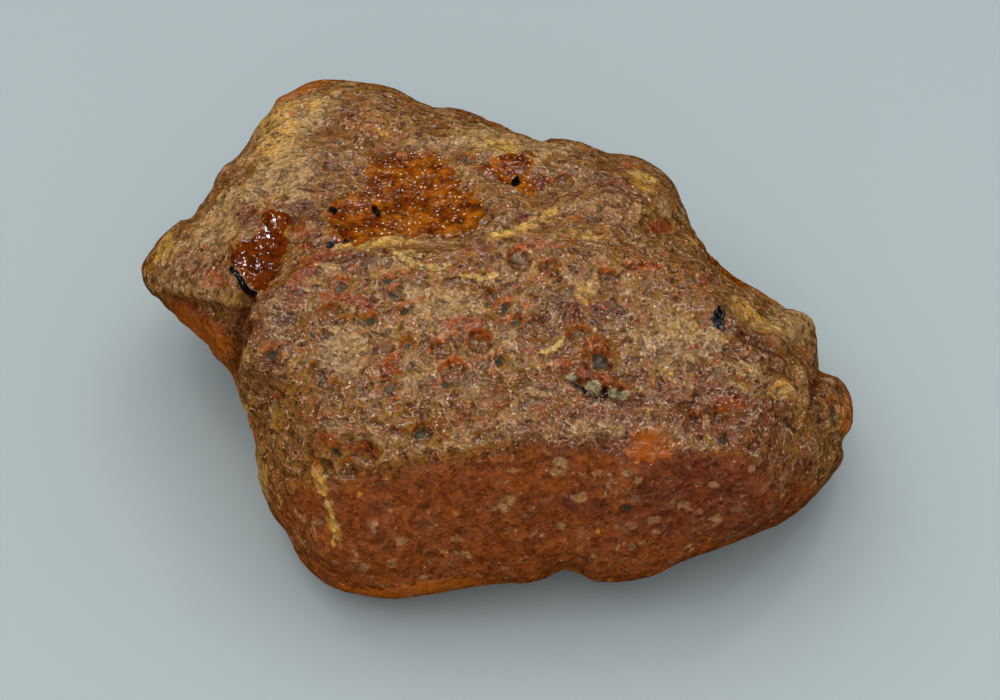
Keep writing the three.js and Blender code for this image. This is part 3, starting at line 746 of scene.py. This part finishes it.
# Width, depth and lip of each kind of pit, as shares of the radius in its list.
CLAY_DISH = (1.8, 0.30, 0.08)
CLAY_CUP = (0.8, 0.50, 0.0)
OPEN_BOWL = (1.15, 0.36, 0.12)
SMALL_BOWL = (1.0, 0.30, 0.06)
LIP_REACH = 1.8
GRAIN_RISE = 0.7

height = np.zeros(len(shaped))
pit_floor = np.zeros(len(shaped))
masks["ring"] = np.zeros(len(shaped))
masks["clay"] = np.zeros(len(shaped))
masks["sand"] = np.zeros(len(shaped))
wobble = noise(shaped, 1.6, 40)


def near_point(centre, radius):
    """The points within a radius of a centre, and their distances as shares of that radius."""
    boxed = np.flatnonzero(np.abs(shaped - centre).max(axis=1) < radius)
    share = np.linalg.norm(shaped[boxed] - centre, axis=1) / radius
    return boxed[share < 1], share[share < 1]


def cut_pit(centre, size, shape, filled=0.0):
    """Lower a flat-bottomed bowl of 1 - r*r, raise a lip, and mark its floor, far wall and filling."""
    width, deep, rim = shape
    radius = width * size
    depth = deep * size
    lip = rim * size
    near, share = near_point(centre, LIP_REACH * radius)
    reach = LIP_REACH * share * (1 + 0.30 * wobble[near])
    bowl = np.clip(1.5 * (1 - reach ** 2), 0, 1)
    towards_far = (shaped[near] - centre) @ (UP - 0.5 * RIGHT) / radius
    # The far wall is marked for painted light and shade: it turns orange in the material.
    wall = np.exp(-((reach - 0.85) / 0.22) ** 2) * soft_step(-0.2, 0.9, towards_far)
    height[near] += lip * np.exp(-((reach - 1.1) / 0.2) ** 2) - depth * bowl
    pit_floor[near] = np.maximum(pit_floor[near], soft_step(0.0, 0.8, bowl))
    masks["ring"][near] = np.maximum(masks["ring"][near], wall)
    masks["clay"][near] = np.maximum(masks["clay"][near], filled * soft_step(0.2, 0.8, bowl))


def lay_grain(centre, radius):
    """Raise half a ball, the square root of 1 - r*r, and mark it as sand."""
    near, share = near_point(centre, 1.4 * radius)
    dome = np.maximum(1 - (1.4 * share * (1 + 0.2 * wobble[near])) ** 2, 0)
    height[near] += GRAIN_RISE * radius * np.sqrt(dome)
    masks["sand"][near] = np.maximum(masks["sand"][near], soft_step(0.0, 0.4, dome))


def on_seen_side(x, y):
    """The point of the stone that the eye sees at a place in the picture plane."""
    missed = np.hypot(seen[:, 0] - x, seen[:, 1] - y) + 50.0 * (lean < -0.02)
    return shaped[np.argmin(missed)]


for x, y, radius in CLAY_PITS:
    cut_pit(on_seen_side(x, y), radius, CLAY_DISH)
    cut_pit(on_seen_side(x, y), radius, CLAY_CUP, filled=1.0)
for x, y, radius in OPEN_PITS:
    cut_pit(on_seen_side(x, y), radius, OPEN_BOWL)
for x, y, radius in SAND_GRAINS:
    lay_grain(on_seen_side(x, y), radius)
print(len(CLAY_PITS) + len(OPEN_PITS), "pits placed by hand")

# %% [markdown]
# ## Small pits
# Hundreds of small pits are spread by a seeded draw, so that they fall in the same places each time.
# Large faces get more of them, and the windows none.

# %% Small pits
SMALL_PITS = 620
SMALL_PIT_RADII = (0.35, 1.0)
CLAY_SHARE = 0.06
pit_draw = np.random.default_rng(11)


def draw_small_pits():
    """Draw points evenly over the skin, and cut a shallow pit at each that is clear of the others."""
    size = np.linalg.norm(shaped[quads[:, 2]] - shaped[quads[:, 0]], axis=1) ** 2
    chance = size * (1 - masks["clear"][quads[:, 0]]) * (shaped[quads[:, 0], 2] > -MIDDLE_HEIGHT + 0.5)
    faces = pit_draw.choice(len(quads), 4 * SMALL_PITS, p=chance / chance.sum())
    spread = pit_draw.random(len(faces))
    radii = SMALL_PIT_RADII[0] + (SMALL_PIT_RADII[1] - SMALL_PIT_RADII[0]) * spread ** 2
    kept = []
    for face, radius, filling in zip(faces, radii, pit_draw.random(len(faces))):
        centre = shaped[quads[face, 0]]
        if pit_floor[quads[face, 0]] < 0.1 and len(kept) < SMALL_PITS:
            cut_pit(centre, radius, SMALL_BOWL, filled=float(filling > 1 - CLAY_SHARE))
            kept.append(radius)
    return kept


small_pits = draw_small_pits()
print(len(small_pits), "small pits, up to", round(2 * max(small_pits), 1), "mm across")

# %% [markdown]
# ## The fine skin
# Between the pits the skin is crumpled: soft dents of a few millimetres, and sharp little ridges
# where it has shrunk. A ridge is one minus the size of a noise, which has a crease where the noise
# crosses zero. The windows and the red hollow stay smooth. What lies below the resting plane is drawn
# back onto it along its own direction, so that the underside is truly flat there. The steep front
# has a redder, smoother skin, up to an edge that is a line in the picture plane.

# %% Fine relief and the resting face
DENTS = ((5.0, 0.30, 21), (2.6, 0.24, 22), (1.4, 0.14, 23))
RIDGES = ((3.4, 0.36, 24), (1.7, 0.24, 25))
FACE_EDGE = ((-34.0, -15.0), (-29.0, -16.0), (-22.7, -18.0), (-13.3, -16.0), (-2.7, -14.2), (8.0, -12.7),
             (18.7, -12.2), (26.7, -13.4), (36.0, -15.5), (44.0, -19.0))


def fine_relief():
    """Dents as noise and ridges as one minus the size of a noise, calmer on the rim and windows."""
    dents = sum(rise * noise(shaped, size, seed) for size, rise, seed in DENTS)
    ridges = sum(rise * (0.35 - np.abs(noise(shaped, size, seed))) for size, rise, seed in RIDGES)
    calm = 1 - 0.55 * np.exp(-(lean / 0.12) ** 2)
    calm *= 1 - 0.85 * np.maximum(masks["clear"], masks["ember"])
    calm *= 1 - 0.6 * np.maximum(masks["clay"], masks["black"])
    calm *= 1 - 0.45 * soft_step(0.35, 0.75, -normals[:, 1]) * front_side
    folds = sum(crease_height(seen, *fold[1:]) for fold in FOLDS)
    return calm * (dents + ridges) + front_side * folds + 0.15 * masks["black"]


skin_height = height + fine_relief()
points = shaped + normals * skin_height[:, None]
rests = points[:, 2] < -MIDDLE_HEIGHT
points[rests] *= (-MIDDLE_HEIGHT / points[rests, 2])[:, None]
# Low places, which get painted shade in the material.
masks["hollow"] = soft_step(0.05, -0.35, skin_height)
masks["crest"] = soft_step(0.08, 0.35, skin_height)
facing_front = soft_step(0.30, 0.75, -normals[:, 1])
below_edge = np.interp(seen[:, 0], *np.transpose(FACE_EDGE)) - seen[:, 1] + 1.2 * ragged_line
masks["front_face"] = front_side * facing_front * soft_step(-3.0, 2.5, below_edge)
points += MIDDLE
points[rests, 2] = 0.0
print(int(rests.sum()), "points rest on the floor; size in mm", np.ptp(points, axis=0).round(1))

# %% [markdown]
# ## The mesh
# The arrays go into the mesh in one call each, which is far quicker than a loop over its points. Each
# mask becomes an attribute, one number per point, which the material reads by its name.

# %% The mesh and its masks
def build_mesh(name):
    """A mesh from the points and faces, with one number per point for every mask."""
    mesh = bpy.data.meshes.new(name)
    mesh.vertices.add(len(points))
    mesh.vertices.foreach_set("co", (points * METRE).astype(np.float32).ravel())
    mesh.loops.add(quads.size)
    mesh.loops.foreach_set("vertex_index", quads.astype(np.int32).ravel())
    mesh.polygons.add(len(quads))
    mesh.polygons.foreach_set("loop_start", np.arange(0, quads.size, 4, dtype=np.int32))
    mesh.update(calc_edges=True)
    mesh.polygons.foreach_set("use_smooth", np.ones(len(quads), dtype=bool))
    for kind, mask in masks.items():
        attribute = mesh.attributes.new(kind, "FLOAT", "POINT")
        attribute.data.foreach_set("value", mask.astype(np.float32))
    mesh.validate()
    return mesh


stone = link(bpy.data.objects.new("carnelian_stone", build_mesh("carnelian_stone")))
print("mesh with", 2 * len(stone.data.polygons), "triangles and", len(masks), "masks")

# %% [markdown]
# ## Helpers for nodes
# A material tree is a formula, so these helpers let it be written as one: each adds a node and
# returns the socket that the next one reads.


# %% Node helpers
class Nodes:
    """Adds nodes to a tree and returns their output sockets."""

    def __init__(self, tree):
        self.tree = tree
        self.tree.nodes.clear()

    def add(self, kind, inputs=None, output=0, **settings):
        """Add a node, link or set its inputs, and return one of its outputs, or it if it has none."""
        node = self.tree.nodes.new(kind)
        for name, value in settings.items():
            setattr(node, name, value)
        for key, value in (inputs or {}).items():
            if isinstance(value, bpy.types.NodeSocket):
                self.tree.links.new(value, node.inputs[key])
            else:
                node.inputs[key].default_value = value
        return node.outputs[output] if node.outputs else node

    def math(self, operation, first, second=0.0):
        return self.add("ShaderNodeMath", {0: first, 1: second}, operation=operation)

    def times(self, first, second):
        return self.math("MULTIPLY", first, second)

    def plus(self, first, second):
        return self.math("ADD", first, second)

    def either(self, first, second):
        return self.math("MAXIMUM", first, second)

    def mix(self, share, first, second, blend="MIX"):
        """The first colour where the share is 0, the second where it is 1."""
        inputs = {"Factor": share, 6: first, 7: second}
        return self.add("ShaderNodeMix", inputs, output=2, data_type="RGBA", blend_type=blend)

    def step(self, value, start, end, low=0.0, high=1.0):
        """Low before start, high after end, and a soft curve in between."""
        inputs = {"Value": value, "From Min": start, "From Max": end, "To Min": low, "To Max": high}
        return self.add("ShaderNodeMapRange", inputs, interpolation_type="SMOOTHSTEP")

    def noise(self, place, size, detail):
        """Noise from 0 to 1 with lumps of about the given size in mm."""
        inputs = {"Vector": place, "Scale": 1.0 / (size * METRE), "Detail": detail}
        return self.add("ShaderNodeTexNoise", inputs)

    def blend(self, share, first, second):
        """The same as mix, for plain numbers."""
        return self.add("ShaderNodeMix", {"Factor": share, 2: first, 3: second}, data_type="FLOAT")

    def mask(self, name):
        """The number that the mesh holds at each point under this name."""
        return self.add("ShaderNodeAttribute", output=2, attribute_name=name)


def new_group(name, inputs, outputs):
    """A node group with named sockets: returns it, its helper, its inputs and its output node."""
    tree = bpy.data.node_groups.new(name, "ShaderNodeTree")
    nodes = Nodes(tree)
    kinds = {"f": "NodeSocketFloat", "c": "NodeSocketColor", "v": "NodeSocketVector"}
    for socket, kind in inputs:
        tree.interface.new_socket(socket, in_out="INPUT", socket_type=kinds[kind])
    for socket, kind in outputs:
        tree.interface.new_socket(socket, in_out="OUTPUT", socket_type=kinds[kind])
    given = tree.nodes.new("NodeGroupInput")
    made = tree.nodes.new("NodeGroupOutput")
    return tree, nodes, given.outputs, made.inputs


# %% [markdown]
# ## Effects used more than once
# The skin's grain is noise that has been bent by other noise, so that it looks like crumpled fibres.
# A ragged edge breaks up the soft border of a mask, as much as it is told to. Spots are round domes
# in some of the cells of a cell pattern: pale flecks or beads. Each is a group with named inputs, so
# that every layer can use its own sizes.


# %% Groups
def make_grain_group():
    """Grain: fine noise read at places that a coarser noise has pushed about."""
    tree, nodes, given, made = new_group("bent_grain", [("Place", "v"), ("Size", "f"), ("Bend", "f")],
                                         [("Grain", "f"), ("Fine", "f")])
    scale = nodes.math("DIVIDE", 1.0 / METRE, given["Size"])
    coarse = nodes.math("MULTIPLY", scale, 0.35)
    push = nodes.add("ShaderNodeTexNoise", {"Vector": given["Place"], "Scale": coarse, "Detail": 1.0}, 1)
    centred = nodes.add("ShaderNodeVectorMath", {0: push, 1: (0.5, 0.5, 0.5)}, operation="SUBTRACT")
    reach = nodes.math("MULTIPLY", given["Bend"], METRE)
    pushed = nodes.add("ShaderNodeVectorMath", {0: centred, "Scale": reach}, operation="SCALE")
    place = nodes.add("ShaderNodeVectorMath", {0: given["Place"], 1: pushed}, operation="ADD")
    grain = nodes.add("ShaderNodeTexNoise", {"Vector": place, "Scale": scale, "Detail": 2.0})
    finer = nodes.math("MULTIPLY", scale, 2.7)
    fine = nodes.add("ShaderNodeTexNoise", {"Vector": place, "Scale": finer, "Detail": 1.0})
    tree.links.new(grain, made["Grain"])
    tree.links.new(fine, made["Fine"])
    return tree


def make_edge_group():
    """Ragged edge: a soft mask plus noise, cut off more sharply."""
    inputs = [("Mask", "f"), ("Rough", "f"), ("Raggedness", "f")]
    tree, nodes, given, made = new_group("ragged_edge", inputs, [("Mask", "f")])
    shift = nodes.math("MULTIPLY", nodes.math("SUBTRACT", given["Rough"], 0.5), given["Raggedness"])
    tree.links.new(nodes.step(nodes.math("ADD", given["Mask"], shift), 0.30, 0.72), made["Mask"])
    return tree


def make_spot_group():
    """Spots: round domes at the middles of some cells, 1 at the centre and 0 at their radius."""
    inputs = [("Place", "v"), ("Size", "f"), ("Radius", "f"), ("Share", "f")]
    tree, nodes, given, made = new_group("spots", inputs, [("Spot", "f")])
    scale = nodes.math("DIVIDE", 1.0 / METRE, given["Size"])
    cells = tree.nodes.new("ShaderNodeTexVoronoi")
    tree.links.new(given["Place"], cells.inputs["Vector"])
    tree.links.new(scale, cells.inputs["Scale"])
    dome = nodes.step(cells.outputs["Distance"], given["Radius"], 0.0)
    draw = nodes.add("ShaderNodeSeparateColor", {0: cells.outputs["Color"]})
    chosen = nodes.math("LESS_THAN", draw, given["Share"])
    tree.links.new(nodes.math("MULTIPLY", dome, chosen), made["Spot"])
    return tree


GRAIN_GROUP = make_grain_group()
EDGE_GROUP = make_edge_group()
SPOT_GROUP = make_spot_group()
print("node groups:", [group.name for group in bpy.data.node_groups])

# %% [markdown]
# ## The stone's colours
# Each name is a kind of skin, stain or filling, but glow and crest are painted light: the glow of thin
# edges and the pale of painted highlights. They are screen colours, deeper than what the eye sees,
# because the gloss and the painted highlights on the crests lighten them.

# %% Colours
OLIVE = srgb(134, 88, 30)
MAUVE = srgb(127, 66, 33)
# Painted shade, for the low places and the seams.
DARK = srgb(80, 36, 8)
FLESH = srgb(143, 66, 21)
FLESH_DARK = srgb(124, 54, 20)
COLOURS = {
    "plum": srgb(104, 46, 32),
    "rust": srgb(146, 57, 12),
    "ember": srgb(98, 36, 2),
    "ochre": srgb(200, 144, 56),
    "pale": srgb(190, 148, 94),
    "glow": srgb(186, 92, 12),
    "gold": srgb(204, 158, 76),
    "fleck": srgb(190, 146, 94),
    # Painted highlights: the pale of the crest lines and of the glints on the beads.
    "crest": srgb(236, 202, 148),
}
# Painted light and shade: the orange of the far pit walls.
AMBER = srgb(172, 82, 18)
HONEY = srgb(152, 78, 8)
DEEP_HONEY = srgb(104, 40, 3)
CLAY = srgb(72, 66, 40)
SAND = srgb(150, 132, 88)
BLACK = srgb(14, 10, 8)
print(len(COLOURS), "stains")

# %% [markdown]
# ## What the layers share
# The finish is built like paint, each layer mixed over the last by a mask from the mesh. The same few
# noises serve all layers, so that stains, grain and gloss belong together. A layer that drifts also
# appears wherever a slow noise passes a limit. The steep front is plainer than the top, so one of the
# slow noises is flattened there.

# %% Noises and layers
material = bpy.data.materials.new("weathered_carnelian")
material.use_nodes = True
nodes = Nodes(material.node_tree)
place = nodes.add("ShaderNodeTexCoord", output=3)


def use(group, **inputs):
    """Add a group at this object's places."""
    return nodes.add("ShaderNodeGroup", {"Place": place, **inputs}, node_tree=group)


rough = nodes.noise(place, 1.0, 3.0)
face = nodes.mask("front_face")
warm_drift = nodes.blend(nodes.times(face, 0.6), nodes.noise(place, 2.8, 3.0), 0.5)
pale_drift = nodes.noise(place, 3.6, 3.0)
fibres = use(GRAIN_GROUP, Size=1.3, Bend=1.3)
fine = fibres.node.outputs["Fine"]
tiny = nodes.noise(place, 0.24, 1.0)


def ragged(mask, raggedness=2.2):
    """A mask with its soft edge broken up."""
    inputs = {"Mask": mask, "Rough": rough, "Raggedness": raggedness}
    return nodes.add("ShaderNodeGroup", inputs, node_tree=EDGE_GROUP)


def layer(colour, name, amount, drift=None, start=0.0, end=1.0):
    """Mix a named colour in, where its mask or a drifting noise between start and end is high."""
    mask = nodes.mask(name)
    if drift:
        mask = nodes.either(mask, nodes.step(drift, start, end))
    return nodes.mix(nodes.times(ragged(mask), amount), colour, COLOURS[name])


print("noises and masks:", len(material.node_tree.nodes), "nodes")

# %% [markdown]
# ## Skin, stains and painted glow
# The base is a mottled skin of olive-tan and mauve, and a redder flesh on the steep front, streaked
# along the stone. Pale, plum, rust and ochre stains lie on it, then the painted glow of the thin edges,
# where light comes through, gold threads and pale flecks.

# %% Skin and stains
rust = nodes.either(nodes.mask("rust"), nodes.step(warm_drift, 0.60, 0.74))
rust = ragged(rust, 1.6)


def stains_and_painted_glow():
    """The skin's colour with all its stains, threads and flecks, and the painted glow of thin edges."""
    skin = nodes.mix(nodes.step(rough, 0.42, 0.58), OLIVE, MAUVE)
    along = nodes.add("ShaderNodeMapping", {"Vector": place, "Scale": (0.35, 1.0, 1.0)})
    flesh = nodes.mix(nodes.step(nodes.noise(along, 1.5, 3.0), 0.40, 0.62), FLESH, FLESH_DARK)
    colour = nodes.mix(nodes.times(face, 0.85), skin, flesh)
    # Pale patches, partly painted light on the far side and a painted highlight on the right lobe.
    colour = layer(colour, "pale", 0.48, pale_drift, 0.60, 0.72)
    colour = layer(colour, "plum", 0.55, warm_drift, 0.39, 0.29)
    colour = nodes.mix(nodes.times(rust, 0.70), colour, COLOURS["rust"])
    colour = layer(colour, "ochre", 0.60, pale_drift, 0.31, 0.20)
    # Painted light: the glow of thin edges.
    colour = layer(colour, "glow", 0.65)
    colour = layer(colour, "gold", 0.80)
    colour = layer(colour, "fleck", 0.40)
    small_flecks = nodes.times(use(SPOT_GROUP, Size=2.2, Radius=0.3, Share=0.35), 0.35)
    return nodes.mix(small_flecks, colour, COLOURS["fleck"])


colour = stains_and_painted_glow()
print("with the skin:", len(material.node_tree.nodes), "nodes")

# %% [markdown]
# ## Painted highlights on crests, and painted light and shade in pits and hollows
# The sharpest ridges of the crumpled skin get painted highlights, which are thin bright lines on the real
# stone. A ridge is where the grain crosses its middle value. The far walls of the pits are painted orange,
# as shade and as the light that comes through their thin rims, and the low places get painted shade.

# %% Crests, pits and hollows
ridges = nodes.math("ABSOLUTE", nodes.math("SUBTRACT", fibres, 0.5))


def painted_highlights_and_shade(colour):
    """Painted highlights on crests away from the front and the rust, painted light and shade on the far
    pit walls, painted shade in the hollows, and paler raised places.
    """
    # Painted highlights: thin pale lines where the grain crosses its middle value, away from the front and
    # the rust.
    crests = nodes.times(nodes.step(ridges, 0.035, 0.0), nodes.step(rough, 0.43, 0.60, 0.0, 0.52))
    crests = nodes.times(crests, nodes.step(nodes.either(face, rust), 0.0, 1.0, 1.0, 0.15))
    colour = nodes.mix(crests, colour, COLOURS["crest"])
    # Painted light and shade: orange on the far walls of the pits.
    colour = nodes.mix(nodes.times(ragged(nodes.mask("ring")), 0.80), colour, AMBER)
    # Painted shade: the low places are darkened, less on the front.
    low = nodes.times(nodes.mask("hollow"), nodes.step(face, 0.0, 1.0, 1.0, 0.5))
    colour = nodes.mix(nodes.times(low, 0.35), colour, DARK)
    # Raised places are made a little paler.
    return nodes.mix(nodes.times(nodes.mask("crest"), 0.25), colour, COLOURS["pale"])


colour = painted_highlights_and_shade(colour)
print("with the wear:", len(material.node_tree.nodes), "nodes")

# %% [markdown]
# ## Windows
# Where the skin is gone, the stone is clear honey orange, or dark red in the hollow. Its surface is
# covered with tiny round beads, and each bead carries a point of light. A bump alone would show few
# of them at this size, so painted glints are added: pale spots at the middles of the beads, on the
# windows and in patches of the skin.

# %% Windows and beads
clear = ragged(nodes.mask("clear"))
ember = ragged(nodes.mask("ember"))
polished = nodes.either(clear, ember)
beads = use(SPOT_GROUP, Size=0.72, Radius=0.55, Share=0.75)


def with_windows(colour):
    """Honey in the windows, ember in the hollow, and painted glints on the beads in uneven clusters."""
    depths = nodes.step(nodes.noise(place, 2.2, 3.0), 0.38, 0.62)
    colour = nodes.mix(clear, colour, nodes.mix(depths, HONEY, DEEP_HONEY))
    colour = nodes.mix(ember, colour, COLOURS["ember"])
    clusters = nodes.either(clear, nodes.times(ember, 0.35))
    clusters = nodes.times(clusters, nodes.step(fine, 0.44, 0.58, 0.10, 0.95))
    # Painted glints on the skin too, in patches and fewer on the front.
    sparks = nodes.times(nodes.step(rough, 0.52, 0.66, 0.0, 0.9), nodes.step(face, 0.0, 1.0, 1.0, 0.4))
    painted_glints = nodes.times(nodes.step(beads, 0.50, 0.85), nodes.either(clusters, sparks))
    return nodes.mix(painted_glints, colour, COLOURS["crest"])


colour = with_windows(colour)
print("with the windows:", len(material.node_tree.nodes), "nodes")

# %% [markdown]
# ## Fillings and mottling
# Grey-green clay, pale sand, the painted shade of the seams and black mineral lie over everything else.
# Then all of it is mottled: three sizes of noise multiply the colour, less so on the front and on the
# glowing edges.

# %% Fillings and mottling
clay = ragged(nodes.mask("clay"), 1.2)
sand = ragged(nodes.mask("sand"))
black = ragged(nodes.mask("black"), 1.0)


def filled_and_mottled(colour):
    """Clay, sand, painted shade in the seams and black mineral, then light and dark from the grain."""
    colour = nodes.mix(nodes.times(clay, 0.85), colour, CLAY)
    colour = nodes.mix(sand, colour, SAND)
    # Painted shade along the seams.
    colour = nodes.mix(nodes.times(ragged(nodes.mask("seam")), 0.75), colour, DARK)
    colour = nodes.mix(black, colour, BLACK)
    mottle = nodes.plus(nodes.step(fine, 0.30, 0.70, 0.15, 0.80), nodes.step(tiny, 0.3, 0.7, 0.0, 0.3))
    mottle = nodes.plus(mottle, nodes.step(fibres, 0.38, 0.62, 0.10, 0.70))
    calm = nodes.either(nodes.mask("glow"), nodes.times(face, 0.45))
    mottle = nodes.blend(nodes.times(calm, 0.6), mottle, 0.95)
    light = nodes.add("ShaderNodeCombineColor", {0: mottle, 1: mottle, 2: mottle})
    return nodes.mix(1.0, colour, light, blend="MULTIPLY")


colour = filled_and_mottled(colour)
print("with the fillings:", len(material.node_tree.nodes), "nodes")

# %% [markdown]
# ## Gloss and bumps
# The skin looks wet, so it is smooth in patches, and smoothest on the windows. The bumps that are too
# small for the mesh are a height in millimetres: sharp ridges on the skin, highest where the grain
# crosses its middle value, and beads on the windows. They break up the mirrored lamps into glints.

# %% Gloss and bumps
def gloss():
    """A low, patchy roughness, lower on windows and black mineral and higher on clay and sand."""
    patchy = nodes.step(pale_drift, 0.36, 0.62, 0.11, 0.28)
    roughness = nodes.plus(nodes.times(nodes.either(clay, sand), 0.35), patchy)
    roughness = nodes.blend(polished, roughness, 0.10)
    return nodes.times(roughness, nodes.math("SUBTRACT", 1.0, nodes.times(black, 0.5)))


def bumps():
    """Ridges on the skin and beads on the windows, as one height that tilts the normal."""
    skin = nodes.plus(nodes.times(ridges, -0.9), nodes.times(fine, 0.30))
    skin = nodes.plus(skin, nodes.times(tiny, 0.08))
    skin = nodes.times(skin, nodes.step(face, 0.0, 1.0, 1.0, 0.55))
    window = nodes.plus(nodes.times(beads, 0.22), nodes.times(fibres, 0.30))
    window = nodes.plus(window, nodes.times(fine, 0.14))
    window = nodes.times(window, nodes.step(nodes.mask("ember"), 0.0, 1.0, 1.0, 0.35))
    smooth_part = nodes.either(nodes.mask("clear"), nodes.mask("ember"))
    rise = nodes.blend(smooth_part, skin, window)
    return nodes.add("ShaderNodeBump", {"Height": rise, "Distance": METRE, "Strength": 1.0})


look = {"Base Color": colour, "Roughness": gloss(), "Normal": bumps()}
print("with the gloss and bumps:", len(material.node_tree.nodes), "nodes")

# %% [markdown]
# ## The surface
# Glass with colour inside would be the truest, but it is slow and hides the skin. This is a solid
# colour under a clear gloss with the refraction of quartz, and a little of the light scatters below
# the surface, red furthest, which softens the shadows as translucent stone does.

# %% Surface
look |= {"IOR": 1.5, "Specular IOR Level": 0.5}
look |= {"Subsurface Weight": 0.2, "Subsurface Scale": 1.4 * METRE, "Subsurface Radius": (1.0, 0.3, 0.08)}
surface = nodes.add("ShaderNodeBsdfPrincipled", look)
nodes.add("ShaderNodeOutputMaterial", {"Surface": surface})
stone.data.materials.append(material)
print("the stone's material has", len(material.node_tree.nodes), "nodes")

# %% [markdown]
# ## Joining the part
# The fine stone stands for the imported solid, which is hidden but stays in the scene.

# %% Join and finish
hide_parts("carnelian")
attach(stone, "root")
